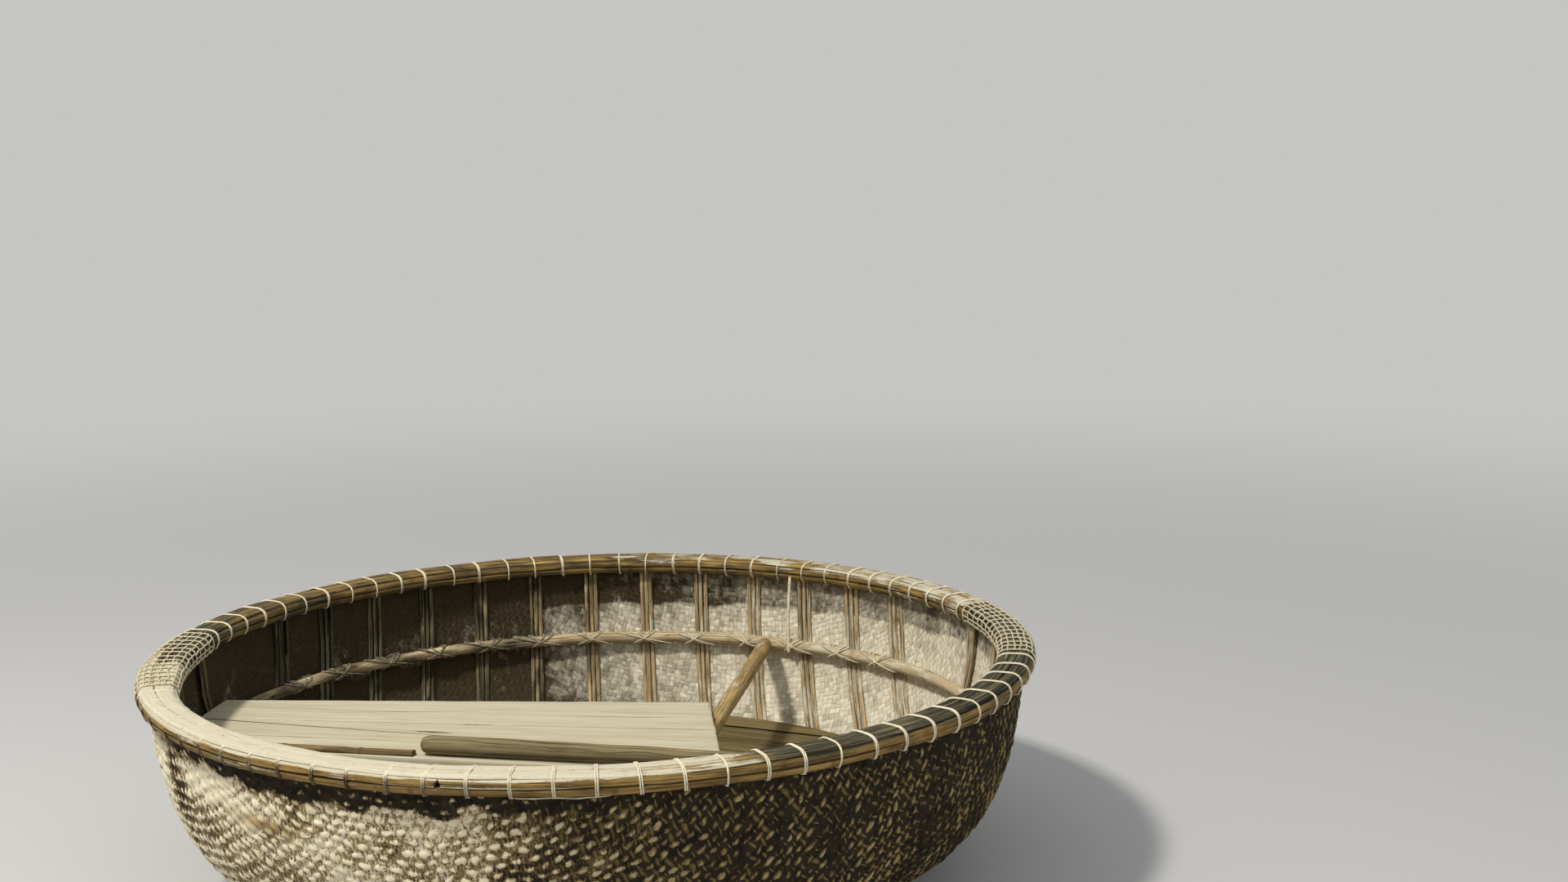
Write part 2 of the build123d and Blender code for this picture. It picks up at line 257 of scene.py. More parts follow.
rim_centre = np.array([0.0, 0.0, rim_top])
stand = view_distance * np.array([0.0, -math.cos(view_rise), math.sin(view_rise)])
ahead = -stand / view_distance
right = unit(np.cross(ahead, (0.0, 0.0, 1.0)))
up = np.cross(right, ahead)
ahead = (
    ahead * math.cos(view_pan) * math.cos(view_tilt)
    + right * math.sin(view_pan) * math.cos(view_tilt)
    + up * math.sin(view_tilt)
)
right = unit(np.cross(ahead, up))
up = np.cross(right, ahead)
right, up = (
    right * math.cos(view_roll) + up * math.sin(view_roll),
    up * math.cos(view_roll) - right * math.sin(view_roll),
)
camera_data = bpy.data.cameras.new("camera")
camera_data.lens = 50.0
camera_data.sensor_width = 36.0
camera = bpy.data.objects.new("camera", camera_data)
turned = np.eye(4)
turned[:3, 0], turned[:3, 1], turned[:3, 2], turned[:3, 3] = right, up, -ahead, rim_centre + stand
camera.matrix_world = Matrix(turned.tolist())
bpy.context.scene.collection.objects.link(camera)
bpy.context.scene.camera = camera
print("camera at", np.round(rim_centre + stand, 3))

# %% [markdown]
# The studio is a pale floor at the waterline. What shows behind the boat is a light grey of its own, which
# only the rays that see the background meet, so the light on the boat stays at a plain level. The floor
# fades into that grey with the distance from the boat.

# %% Floor
def shader(name):
    """A new material with its Principled shader: the material, its node tree and the shader."""
    material = bpy.data.materials.new(name)
    material.use_nodes = True
    return material, material.node_tree, material.node_tree.nodes["Principled BSDF"]


def background_share(tree):
    """1 for the rays that show the background itself: from the camera, or by way of gloss or glass."""
    path = tree.nodes.new("ShaderNodeLightPath").outputs
    share = path["Is Camera Ray"]
    for kind in ("Is Glossy Ray", "Is Transmission Ray"):
        either = tree.nodes.new("ShaderNodeMath")
        either.operation = "MAXIMUM"
        tree.links.new(share, either.inputs[0])
        tree.links.new(path[kind], either.inputs[1])
        share = either.outputs[0]
    return share


backdrop = (0.56, 0.56, 0.55, 1)
floor_reach = 60.0
fade_from, fade_to = 2.0, 9.0
floor_mesh = bpy.data.meshes.new("floor")
floor_mesh.from_pydata(
    [(-floor_reach, -floor_reach, 0), (floor_reach, -floor_reach, 0),
     (floor_reach, floor_reach, 0), (-floor_reach, floor_reach, 0)], [], [(0, 1, 2, 3)],
)
floor_material, floor_tree, floor_shader = shader("pale_floor")
floor_shader.inputs["Base Color"].default_value = (0.52, 0.52, 0.51, 1)
floor_shader.inputs["Roughness"].default_value = 0.9
distance = floor_tree.nodes.new("ShaderNodeVectorMath")
distance.operation = "LENGTH"
fade = floor_tree.nodes.new("ShaderNodeMapRange")
fade.inputs["From Min"].default_value, fade.inputs["From Max"].default_value = fade_from, fade_to
fade.interpolation_type = "SMOOTHSTEP"
glow = floor_tree.nodes.new("ShaderNodeEmission")
glow.inputs["Color"].default_value = backdrop
mixed = floor_tree.nodes.new("ShaderNodeMixShader")
place_at = floor_tree.nodes.new("ShaderNodeTexCoord").outputs["Object"]
floor_tree.links.new(place_at, distance.inputs[0])
floor_tree.links.new(distance.outputs["Value"], fade.inputs["Value"])
shown = floor_tree.nodes.new("ShaderNodeMath")
shown.operation = "MULTIPLY"
floor_tree.links.new(fade.outputs[0], shown.inputs[0])
floor_tree.links.new(background_share(floor_tree), shown.inputs[1])
floor_tree.links.new(shown.outputs[0], mixed.inputs["Fac"])
floor_tree.links.new(floor_shader.outputs[0], mixed.inputs[1])
floor_tree.links.new(glow.outputs[0], mixed.inputs[2])
floor_tree.links.new(mixed.outputs[0], floor_tree.nodes["Material Output"].inputs["Surface"])
floor_mesh.materials.append(floor_material)
floor = bpy.data.objects.new("floor", floor_mesh)
bpy.context.scene.collection.objects.link(floor)
print("floor fades from", fade_from, "to", fade_to, "m")

# %% [markdown]
# A wide soft lamp stands high on the left, as the sun stands in the photograph, a weak one fills in from
# the right, and the sky lights the boat evenly. The same rays as on the floor see the sky as plain grey.

# %% Sky and lamps
world = bpy.data.worlds.new("sky")
world.use_nodes = True
sky = world.node_tree
sky.nodes["Background"].inputs["Color"].default_value = (0.98, 0.98, 1.0, 1)
sky.nodes["Background"].inputs["Strength"].default_value = 0.50
seen = sky.nodes.new("ShaderNodeBackground")
seen.inputs["Color"].default_value = backdrop
seen.inputs["Strength"].default_value = 1.0
choice = sky.nodes.new("ShaderNodeMixShader")
sky.links.new(background_share(sky), choice.inputs["Fac"])
sky.links.new(sky.nodes["Background"].outputs[0], choice.inputs[1])
sky.links.new(seen.outputs[0], choice.inputs[2])
sky.links.new(choice.outputs[0], sky.nodes["World Output"].inputs["Surface"])
bpy.context.scene.world = world


def lamp(name, stand_at, size, watts, colour):
    """A square area lamp that faces the boat's middle."""
    data = bpy.data.lights.new(name, "AREA")
    data.energy, data.size, data.color = watts, size, colour
    item = bpy.data.objects.new(name, data)
    item.location = stand_at
    towards = -np.array(stand_at, float)
    tilt = math.acos(-towards[2] / np.linalg.norm(towards))
    item.rotation_euler = (tilt, 0, math.atan2(towards[1], towards[0]) - math.pi / 2)
    bpy.context.scene.collection.objects.link(item)
    print(name, "lamp", watts, "W")


lamp("key", (-3.3, -2.5, 7.0), 0.8, 540, (1.0, 0.965, 0.90))
lamp("fill", (3.5, -5.5, 2.6), 3.0, 45, (0.92, 0.96, 1.0))
bpy.context.scene.view_settings.view_transform = "Standard"

# %% [markdown]
# Materials come from small node groups with named sockets. The helpers below keep each of them short:
# `feed` joins a socket or sets its value, `plus`, `minus`, `times` and `times_plus` are one sum each,
# `noise` is a cloud of given size, `spread` turns a range of values into another range, and `swing` makes
# an even push up and down of a noise.

# %% Shader helpers
def paint(red, green, blue):
    """A screen colour, 0 to 255, as the linear colour that a shader takes."""
    share = np.array([red, green, blue]) / 255
    return (*map(float, np.where(share <= 0.04045, share / 12.92, ((share + 0.055) / 1.055) ** 2.4)), 1.0)


def feed(tree, socket, value):
    """Joins another node's socket to this one, or sets it to a plain value."""
    if isinstance(value, bpy.types.NodeSocket):
        tree.links.new(value, socket)
    else:
        socket.default_value = value


def add(tree, kind, values=None, **settings):
    """A node: its settings are set first, and then each named input is fed."""
    item = tree.nodes.new(kind)
    for key, value in settings.items():
        setattr(item, key, value)
    for key, value in (values or {}).items():
        feed(tree, item.inputs[key], value)
    return item


def maths(tree, operation, *values):
    """One Math node on these values, each a number or a socket."""
    item = add(tree, "ShaderNodeMath", operation=operation)
    for socket, value in zip(item.inputs, values):
        feed(tree, socket, value)
    return item.outputs[0]


def plus(tree, first, second):
    """first + second"""
    return maths(tree, "ADD", first, second)


def minus(tree, first, second):
    """first - second"""
    return maths(tree, "SUBTRACT", first, second)


def times(tree, first, second):
    """first * second"""
    return maths(tree, "MULTIPLY", first, second)


def times_plus(tree, first, second, third):
    """first * second + third"""
    return maths(tree, "MULTIPLY_ADD", first, second, third)


def blend(tree, share, first, second):
    """The first colour where the share is 0, the second where it is 1."""
    item = add(tree, "ShaderNodeMix", data_type="RGBA")
    feed(tree, item.inputs[0], share)
    feed(tree, item.inputs[6], first)
    feed(tree, item.inputs[7], second)
    return item.outputs[2]


def measured(tree, name):
    """The number that a mesh keeps at its points under this name."""
    return add(tree, "ShaderNodeAttribute", attribute_name=name).outputs["Fac"]


def vector(tree, x, y, z=0.0):
    """Three numbers as one vector."""
    return add(tree, "ShaderNodeCombineXYZ", {"X": x, "Y": y, "Z": z}).outputs[0]


def noise(tree, place_at, scale, detail=3.0, roughness=0.6):
    """A cloud of about `scale` spots to the metre, between 0 and 1, mostly from 0.3 to 0.7."""
    values = {"Vector": place_at, "Scale": scale, "Detail": detail, "Roughness": roughness}
    return add(tree, "ShaderNodeTexNoise", values).outputs[0]


def drawn_out(tree, first, second, first_scale, second_scale, detail=3.0, roughness=0.6):
    """Noise with a scale of its own each way, which makes fibres and runs instead of spots."""
    place_at = vector(tree, times(tree, first, first_scale), times(tree, second, second_scale))
    return noise(tree, place_at, 1.0, detail, roughness)


def spread(tree, value, low, high, new_low=0.0, new_high=1.0):
    """Turns low to high into new_low to new_high, and stops at both."""
    values = {"Value": value, "From Min": low, "From Max": high, "To Min": new_low, "To Max": new_high}
    return add(tree, "ShaderNodeMapRange", values).outputs[0]


def swing(tree, value, size):
    """A noise as a push between -size and size."""
    return spread(tree, value, 0.3, 0.7, -size, size)


def fixed_share(tree, first, second):
    """A random share, the same wherever both whole numbers are the same."""
    values = {"Vector": vector(tree, first, second)}
    return add(tree, "ShaderNodeTexWhiteNoise", values, noise_dimensions="2D").outputs["Value"]


def new_group(name, inputs, outputs):
    """A node group with named sockets: its tree, the values that come in and the sockets that go out."""
    tree = bpy.data.node_groups.new(name, "ShaderNodeTree")
    for key, (kind, value) in inputs.items():
        tree.interface.new_socket(key, in_out="INPUT", socket_type=kind).default_value = value
    for key, kind in outputs.items():
        tree.interface.new_socket(key, in_out="OUTPUT", socket_type=kind)
    return tree, tree.nodes.new("NodeGroupInput").outputs, tree.nodes.new("NodeGroupOutput").inputs


def use(tree, group, values):
    """Puts a node group in a tree, feeds its named inputs, and gives its outputs."""
    item = tree.nodes.new("ShaderNodeGroup")
    item.node_tree = group
    for key, value in values.items():
        feed(tree, item.inputs[key], value)
    return item.outputs


def finish(tree, principled, colour, height, distance, roughness=0.85):
    """Joins a colour and a bump of the given depth, in metres, to the Principled shader."""
    feed(tree, principled.inputs["Base Color"], colour)
    feed(tree, principled.inputs["Roughness"], roughness)
    feed(tree, principled.inputs["Specular IOR Level"], 0.22)
    bump = add(tree, "ShaderNodeBump", {"Height": height, "Distance": distance})
    feed(tree, principled.inputs["Normal"], bump.outputs[0])


NUMBER, COLOUR = "NodeSocketFloat", "NodeSocketColor"

# %% [markdown]
# The weave of the bowl
#
# The mat was woven flat and then pushed into the rim, so its pattern is flat: a point of the bowl lies on
# the mat at the same bearing, as far from the middle as the walk up the side is long. The crowns, where a
# strip passes over two others, lie in rows and all point the same way on the mat. That is why they look
# level at one side of the boat and upright at the other. The shape and the material use one rule for them.

# %% The rule for the crowns
crown_turn = math.radians(157)
crown_pitch, row_pitch = 0.041, 0.0225
crown_length, crown_width = 0.030, 0.0150
crown_relief = 0.0052


def mat_place(angle, walked):
    """Where a point of the bowl lies on the flat mat, along the crowns and across them, a little wavy."""
    out = side_length - walked
    along = out * np.cos(angle - crown_turn)
    across = out * np.sin(angle - crown_turn)
    return (
        along + 0.007 * ripple(11, along, across, 0.22) + 0.0032 * ripple(13, along, across, 0.055),
        across + 0.005 * ripple(12, along, across, 0.16) + 0.0022 * ripple(14, along, across, 0.048),
    )


def crown_at(along, across):
    """Distance from the nearest crown's middle (1 on its edge), and that crown's row and number."""
    row = np.floor(across / row_pitch)
    number = along / crown_pitch + 0.5 * np.mod(row, 2)
    column = np.floor(number)
    first = (number - column - 0.5) * crown_pitch / (crown_length / 2)
    second = (across / row_pitch - row - 0.5) * row_pitch / (crown_width / 2)
    return np.hypot(first, second), row, column


def crown_rule():
    """The same rule as a node group, with a share that is fixed for each crown."""
    tree, given, result = new_group(
        "crown_rule",
        {"Along": (NUMBER, 0.0), "Across": (NUMBER, 0.0), "Pitch": (NUMBER, crown_pitch),
         "Row pitch": (NUMBER, row_pitch), "Length": (NUMBER, crown_length), "Width": (NUMBER, crown_width)},
        {"Distance": NUMBER, "Side": NUMBER, "Share": NUMBER},
    )
    lanes = maths(tree, "DIVIDE", given["Across"], given["Row pitch"])
    row = maths(tree, "FLOOR", lanes)
    shift = times(tree, maths(tree, "FLOORED_MODULO", row, 2.0), 0.5)
    number = plus(tree, maths(tree, "DIVIDE", given["Along"], given["Pitch"]), shift)
    column = maths(tree, "FLOOR", number)

    def from_middle(value, whole, pitch, size):
        """How far a place is from its cell's middle, 1 at the crown's edge."""
        middle = minus(tree, minus(tree, value, whole), 0.5)
        return maths(tree, "DIVIDE", times(tree, middle, pitch), times(tree, size, 0.5))

    first = from_middle(number, column, given["Pitch"], given["Length"])
    second = from_middle(lanes, row, given["Row pitch"], given["Width"])
    squares = plus(tree, times(tree, first, first), times(tree, second, second))
    feed(tree, result["Distance"], maths(tree, "SQRT", squares))
    feed(tree, result["Side"], second)
    feed(tree, result["Share"], fixed_share(tree, row, column))
    return tree


crowns = crown_rule()
print("crown rule", len(crowns.nodes), "nodes")

# %% [markdown]
# Where the bowl is pale and where it is dark changes with the bearing and the height: partly bare bamboo and
# tarring, partly painted sunlight on the left, painted shade on the right and a painted shadow under the rim.
# Each of these fields is a short table of bearings, blended between them, plus a few soft patches.

# %% Fields of wear and painted light over the bowl
def by_bearing(angle, table):
    """A value that follows a table of bearings in degrees and values, blended round the boat."""
    return np.interp(np.degrees(angle) % 360, list(table), list(table.values()), period=360)


def patch(angle, height, bearing, level, wide, tall):
    """1 in the middle of a soft patch and 0 outside it; wide in degrees, tall in metres."""
    turned = (np.degrees(angle) - bearing + 180) % 360 - 180
    return np.exp(-((turned / wide) ** 2) - ((height - level) / tall) ** 2)


def outside_wear_and_painted_light(angle, height):
    """Tar cover and golden tone, both with painted light and shade in them, and ochre on the bowl's outside.
    """
    # Pale on the left, dark on the right: partly bare bamboo and tarring, partly painted sunlight on the left
    # and painted shade on the right.
    tar_and_painted_light = by_bearing(angle, {
        20: 0.78, 90: 0.70, 150: 0.60, 180: 0.50, 197: 0.34, 205: 0.44, 214: 0.36, 230: 0.32, 241: 0.23,
        252: 0.28, 258: 0.40, 263: 0.52, 268: 0.61, 276: 0.69, 288: 0.78, 305: 0.86, 340: 0.91,
    })
    tar_and_painted_light = tar_and_painted_light + 0.12 * ripple(21, angle * 1.05, height, 0.35) + 0.09 * ripple(22, angle, height, 0.09)

    # A dark band of painted shadow under the rim's foot, as low and as strong as these tables say.
    foot = by_bearing(angle, {
        198: 0.010, 206: 0.018, 214: 0.028, 226: 0.040, 250: 0.043, 262: 0.034, 285: 0.020, 340: 0.014,
        90: 0.03,
    })
    edge = rim_bottom - foot + 0.011 * ripple(23, angle, height, 0.10)
    strength = by_bearing(angle, {
        150: 0.25, 198: 0.0, 208: 0.6, 222: 0.9, 246: 0.8, 262: 0.52, 275: 0.32, 285: 0.28, 330: 0.25,
        90: 0.3,
    })
    tar_and_painted_light = tar_and_painted_light + strength * smooth_step(edge - 0.014, edge + 0.004, height)

    # Two pale patches of painted sunlight and a darker one beside the left end.
    tar_and_painted_light = tar_and_painted_light - 0.55 * patch(angle, height, 216, 0.452, 6.5, 0.042)
    tar_and_painted_light = tar_and_painted_light - 0.45 * patch(angle, height, 200, 0.45, 3, 0.09)
    tar_and_painted_light = tar_and_painted_light + 0.30 * patch(angle, height, 206.5, 0.40, 2.0, 0.16)

    # Crowns turn golden brown towards the right: partly their own tone, partly painted shade.
    gold_and_shade = by_bearing(angle, {190: 0.0, 240: 0.05, 258: 0.2, 268: 0.6, 280: 0.9, 350: 1.0, 90: 0.6})
    under_water = smooth_step(0.0, -0.06, height)
    tar_and_painted_light, gold_and_shade = tar_and_painted_light + (0.84 - tar_and_painted_light) * under_water, gold_and_shade + (1 - gold_and_shade) * under_water
    ochre = patch(angle, height, 228, 0.398, 5.5, 0.015) + 0.5 * patch(angle, height, 233, 0.47, 2, 0.01)
    return np.clip(tar_and_painted_light, 0, 1.7), gold_and_shade, np.clip(ochre, 0, 1)


print("tar at the front", round(float(outside_wear_and_painted_light(math.radians(270), 0.3)[0]), 2))

# %% [markdown]
# The weave's material reads the crown rule twice. The first use gives the crowns: the tarring has worn off
# the top of each and stays in the gaps, painted shade darkens the gaps and each crown's lower side, and a
# painted highlight lightens its upper side. The second, a quarter turn round, gives the strips that cross
# under them, and where the weave is golden these show between the crowns, as colour with a painted highlight
# along each ridge, and a slight bump.

# %% The weave's material
OUTSIDE_FIELDS = ("along", "across", "level", "down", "tar_and_painted_light", "gold_and_shade", "ochre", "lean")
crossing_length, crossing_width = 0.028, 0.0092


def crown_cover(tree, field, crown, grit, cloud, streak):
    """How dark a point is: its field, more tarring and painted shade in the gaps, a painted highlight on a
    crown's upper side, painted shade on its lower side, and uneven.
    """
    # More tarring and painted shade in the gaps between crowns.
    gap = spread(tree, crown["Distance"], 0.30, 1.15, -0.5, 0.5)
    gap = times(tree, gap, spread(tree, field["tar_and_painted_light"], 0.3, 0.8, 0.46, 0.74))
    cover = plus(tree, field["tar_and_painted_light"], gap)
    on_crown = spread(tree, crown["Distance"], 0.75, 1.2, 1.0, 0.0)
    # Painted shade on each crown's lower side, a painted highlight on its upper side.
    under = times(tree, crown["Side"], field["lean"])
    cover = times_plus(tree, spread(tree, under, -0.9, 0.5, 0.24, -0.10), on_crown, cover)
    even = times_plus(tree, field["gold_and_shade"], -0.11, 0.40)
    cover = times_plus(tree, swing(tree, streak, 1.0), even, cover)
    cover = plus(tree, cover, swing(tree, grit, 0.14))
    uneven = times(tree, times_plus(tree, field["gold_and_shade"], 0.13, 0.15), on_crown)
    cover = times_plus(tree, spread(tree, crown["Share"], 0.0, 1.0, -1.0, 1.0), uneven, cover)
    return plus(tree, cover, swing(tree, cloud, 0.10))


def crossing_strips(tree, field, crown, grit, golden):
    """The strips under the crowns: how much of them shows, their colour with a painted highlight along the
    ridge, and how far they stand up.
    """
    crossing = use(tree, crowns, {
        "Along": plus(tree, field["across"], row_pitch / 2), "Pitch": 2 * row_pitch,
        "Across": plus(tree, field["along"], crown_pitch / 4), "Row pitch": crown_pitch / 2,
        "Length": crossing_length, "Width": crossing_width,
    })
    thread = drawn_out(tree, field["along"], field["across"], 620.0, 30.0)
    worn = plus(tree, spread(tree, crossing["Share"], 0.0, 1.0, -0.30, 0.66), crossing["Distance"])
    worn = plus(tree, worn, spread(tree, thread, 0.35, 0.65, 0.22, -0.22))
    worn = plus(tree, worn, spread(tree, grit, 0.3, 0.7, -0.22, 0.22))
    worn = plus(tree, worn, spread(tree, field["tar_and_painted_light"], 0.80, 1.1, 0.0, 0.5))
    between = times(tree, field["gold_and_shade"], spread(tree, crown["Distance"], 0.85, 1.1))
    shown = times(tree, spread(tree, worn, 0.70, 0.95, 1.0, 0.0), between)
    skin = blend(tree, spread(tree, thread, 0.35, 0.65), paint(68, 55, 28), paint(126, 107, 60))
    # A painted highlight: each crossing strip lighter towards its ridge.
    skin = blend(tree, spread(tree, crossing["Distance"], 0.65, 0.1, 0.0, 0.5), skin, golden)
    return shown, skin, times(tree, between, spread(tree, crossing["Distance"], 1.05, 0.2))


def weave_material():
    """The outside's material: bare straw or golden bamboo on the crowns, brown, tarring and painted shade
    between them.
    """
    material, tree, principled = shader("woven_bamboo")
    field = {name: measured(tree, name) for name in OUTSIDE_FIELDS}
    crown = use(tree, crowns, {"Along": field["along"], "Across": field["across"]})
    spot = vector(tree, field["along"], field["across"])
    grit = noise(tree, spot, 240.0, 4.0, 0.7)
    cloud = noise(tree, spot, 30.0, 3.0, 0.6)
    fibre = drawn_out(tree, field["along"], field["across"], 30.0, 620.0)
    streak = drawn_out(tree, field["level"], field["down"], 165.0, 68.0, 4.0, 0.68)
    cover = crown_cover(tree, field, crown, grit, cloud, streak)

    light, soft = spread(tree, fibre, 0.35, 0.65), spread(tree, cloud, 0.35, 0.65)
    pale = blend(tree, light, paint(208, 195, 158), paint(247, 240, 216))
    golden = blend(tree, light, paint(108, 90, 48), paint(176, 156, 98))
    straw = blend(tree, field["gold_and_shade"], pale, golden)
    straw = blend(tree, field["ochre"], straw, paint(160, 130, 74))
    sandy = blend(tree, soft, paint(112, 92, 56), paint(174, 152, 110))
    brown = blend(tree, soft, paint(84, 66, 34), paint(130, 111, 68))
    brown = blend(tree, field["gold_and_shade"], sandy, brown)
    # The darkest colour, for tarring and for painted shade.
    tar_and_painted_light = blend(tree, soft, paint(21, 17, 10), paint(48, 40, 24))
    colour = blend(tree, spread(tree, cover, 0.36, 0.50), straw, brown)
    colour = blend(tree, spread(tree, cover, 0.60, 0.90), colour, tar_and_painted_light)
    shown, skin, raised = crossing_strips(tree, field, crown, grit, golden)
    colour = blend(tree, shown, colour, skin)

    height = plus(tree, times(tree, fibre, 0.25), times(tree, grit, 0.45))
    height = plus(tree, height, times(tree, streak, 0.7))
    height = times_plus(tree, raised, 1.4, height)
    finish(tree, principled, colour, height, 0.0022, 0.86)
    return material


woven = weave_material()
print("weave material", len(woven.node_tree.nodes), "nodes")

# %% [markdown]
# The outside is a grid in bearing and walked distance. Each point is pushed out by its crown, square to
# the side. Above water the grid is close enough for the crowns' shape; under water a coarse one has to do.

# %% The bowl's outside
wall_wave, edge_fade = 0.0016, 0.02


def outside(angles, walks, relief):
    """A sheet of the bowl's outside over these bearings and walked distances."""
    angle, walked = np.meshgrid(angles, walks)
    radius, height, slope = side(walked)
    along, across = mat_place(angle, walked)
    distance, row, column = crown_at(along, across)
    crown = smooth_step(1.25, 0.25, distance) * (0.75 + 0.5 * scatter(row, column))
    edge = np.clip(np.minimum(walked - walks[0], walks[-1] - walked) / edge_fade, 0, 1)
    push = relief * edge * (crown - 0.3) + wall_wave * edge * ripple(24, angle, walked, 0.30)
    radius = radius + push * np.cos(slope)
    height = height - push * np.sin(slope)
    tar_and_painted_light, gold_and_shade, ochre = outside_wear_and_painted_light(angle, height)
    points = np.stack([radius * np.cos(angle), radius * np.sin(angle), height], axis=-1).reshape(-1, 3)
    level, down = (angle, walked) if relief > 0 else (along, across)
    attributes = {"along": along, "across": across, "tar_and_painted_light": tar_and_painted_light, "gold_and_shade": gold_and_shade, "ochre": ochre,
                  "level": level, "down": down, "lean": np.sin(angle - crown_turn)}
    return points, grid(*angle.shape), {name: value.ravel() for name, value in attributes.items()}


strip_foot = walk_to(rim_bottom + 0.012)
water = walk_to(-0.03)
near_step, far_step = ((0.0052, 0.0076))
for name, first, last, step in (
    ("hull_near_left", 180, 270, near_step), ("hull_near_right", 270, 360, near_step),
    ("hull_far_right", 0, 90, far_step), ("hull_far_left", 90, 180, far_step),
):
    angles = np.radians(np.linspace(first, last, int(wall_outer * math.pi / 2 / step)))
    walks = np.linspace(strip_foot, water, int((water - strip_foot) / (step * 0.82)))
    place(name, outside(angles, walks, crown_relief), woven, ["hull_basket"])

angles = np.linspace(0, TURN, 300)
walks = np.linspace(water, side_length, 60)
place("hull_under_water", outside(angles, walks, 0.0), woven, ["hull_basket"])

# %% [markdown]
# The inside is a plain weave of wider strips, pale on the right and dark on the far left, partly its own
# colour and partly painted shade, with a painted shadow of the rim along the top. Its blocks are drawn by the
# material; the shape carries the swell of each block.

# %% The bowl's inside
block = 0.0160
block_swell, lining_wave = 0.0012, 0.0012


def inside_material():
    """Plain weave: in each block one of two sets of strips lies on top, like the squares of a chessboard."""
    material, tree, principled = shader("woven_bamboo_inside")
    along, across = measured(tree, "along"), measured(tree, "across")
    lane_a = maths(tree, "FLOOR", maths(tree, "DIVIDE", along, block))
    lane_b = maths(tree, "FLOOR", maths(tree, "DIVIDE", across, block))
    over = maths(tree, "FLOORED_MODULO", plus(tree, lane_a, lane_b), 2.0)
    share = fixed_share(tree, lane_a, lane_b)

    def on_top(first, second):
        """The first where one set of strips is on top, the second where the other is."""
        return plus(tree, times(tree, first, over), times(tree, second, minus(tree, 1.0, over)))

    def swell(value):
        """0 at a block's edges and 1 at its middle."""
        return maths(tree, "ABSOLUTE", maths(tree, "SINE", times(tree, value, math.pi / block)))

    fibre = on_top(drawn_out(tree, along, across, 25.0, 500.0), drawn_out(tree, across, along, 25.0, 500.0))
    across_strip = on_top(swell(across), swell(along))
    spot = vector(tree, along, across)
    cloud = noise(tree, spot, 22.0, 4.0, 0.65)
    grit = noise(tree, spot, 210.0, 3.0, 0.7)
    pale = blend(tree, spread(tree, fibre, 0.32, 0.66), paint(202, 191, 157), paint(248, 243, 226))
    pale = blend(tree, spread(tree, share, 0.0, 1.0, 0.0, 0.45), pale, paint(164, 150, 116))
    dark = blend(tree, spread(tree, fibre, 0.3, 0.7), paint(29, 24, 15), paint(76, 64, 40))
    level = plus(tree, measured(tree, "dark"), swing(tree, cloud, 0.14))
    level = plus(tree, level, swing(tree, grit, 0.12))
    level = plus(tree, level, spread(tree, share, 0.0, 1.0, -0.09, 0.09))
    colour = blend(tree, spread(tree, level, 0.20, 0.88), pale, dark)
    # Painted shade in the lines between blocks, where one strip dips under the other.
    colour = blend(tree, spread(tree, across_strip, 0.05, 0.42, 0.34, 0.0), colour, paint(52, 40, 24))
    height = plus(tree, across_strip, times(tree, grit, 0.3))
    finish(tree, principled, colour, height, 0.0016, 0.88)
    return material


def inside(angles, walks):
    """A sheet of the bowl's inside: a wall's thickness in from the outside, swelling with each block."""
    angle, walked = np.meshgrid(angles, walks)
    radius, height, slope = side(walked, wall_outer - wall_inner)
    along, across = mat_place(angle, walked)
    swell = np.abs(np.sin(along * math.pi / block) * np.sin(across * math.pi / block))
    push = block_swell * swell + lining_wave * ripple(31, angle, walked, 0.3)
    radius, height = radius - push * np.cos(slope), height + push * np.sin(slope)
    # Darker at the far left: partly the wall's own dark brown, partly painted shade.
    dark = by_bearing(angle, {
        0: 0.22, 12: 0.12, 55: 0.14, 72: 0.30, 88: 0.48, 104: 0.98, 150: 1.08, 180: 0.95, 215: 0.5,
        300: 0.3, 340: 0.3,
    })
    # A painted shadow of the rim in a band across the top of the wall; lower down, darker towards the bottom
    # and in soft patches.
    band = 0.425 + by_bearing(angle, {0: 0.03, 30: 0.015, 60: 0.0, 90: 0.0, 270: 0.03})
    dark = dark + 0.50 * smooth_step(band, band + 0.012, height + 0.006 * ripple(32, angle, height, 0.2))
    dark = dark + 0.20 * smooth_step(0.20, 0.15, height) + 0.10 * ripple(33, angle, height, 0.18)
    points = np.stack([radius * np.cos(angle), radius * np.sin(angle), height], axis=-1)
    return points.reshape(-1, 3), grid(*angle.shape)[:, ::-1], {
        "along": along.ravel(), "across": across.ravel(), "dark": np.clip(dark, 0, 1.3).ravel(),
    }


inner_step = 0.0072
floor_walk = walk_to(0.12, wall_outer - wall_inner)
lining = inside_material()
angles = np.linspace(0, TURN, int(TURN * wall_inner / inner_step))
walks = np.linspace(0, floor_walk, int(floor_walk / inner_step))
place("hull_lining", inside(angles, walks), lining, ["hull_basket"])
angles = np.linspace(0, TURN, 160)
walks = np.linspace(floor_walk, side_length, 36)
place("hull_lining_under_floor", inside(angles, walks), lining, ["hull_basket"])

# %% [markdown]
# Bamboo
#
# One node group paints all the split bamboo and poles. It reads where a point lies on its strip (`along`,
# `wide` and `thick`, in metres) and four shares that the meshes carry: `bleach` for sun-bleached skin, one
# for the mouldy grey-green side that also carries painted shade, `groove` for painted shade in the line where
# strips meet, and `knot` near the ridge that every bamboo joint has.

# %% Bamboo material
BAMBOO = ("along", "wide", "thick", "tone", "bleach", "mould", "groove", "knot")


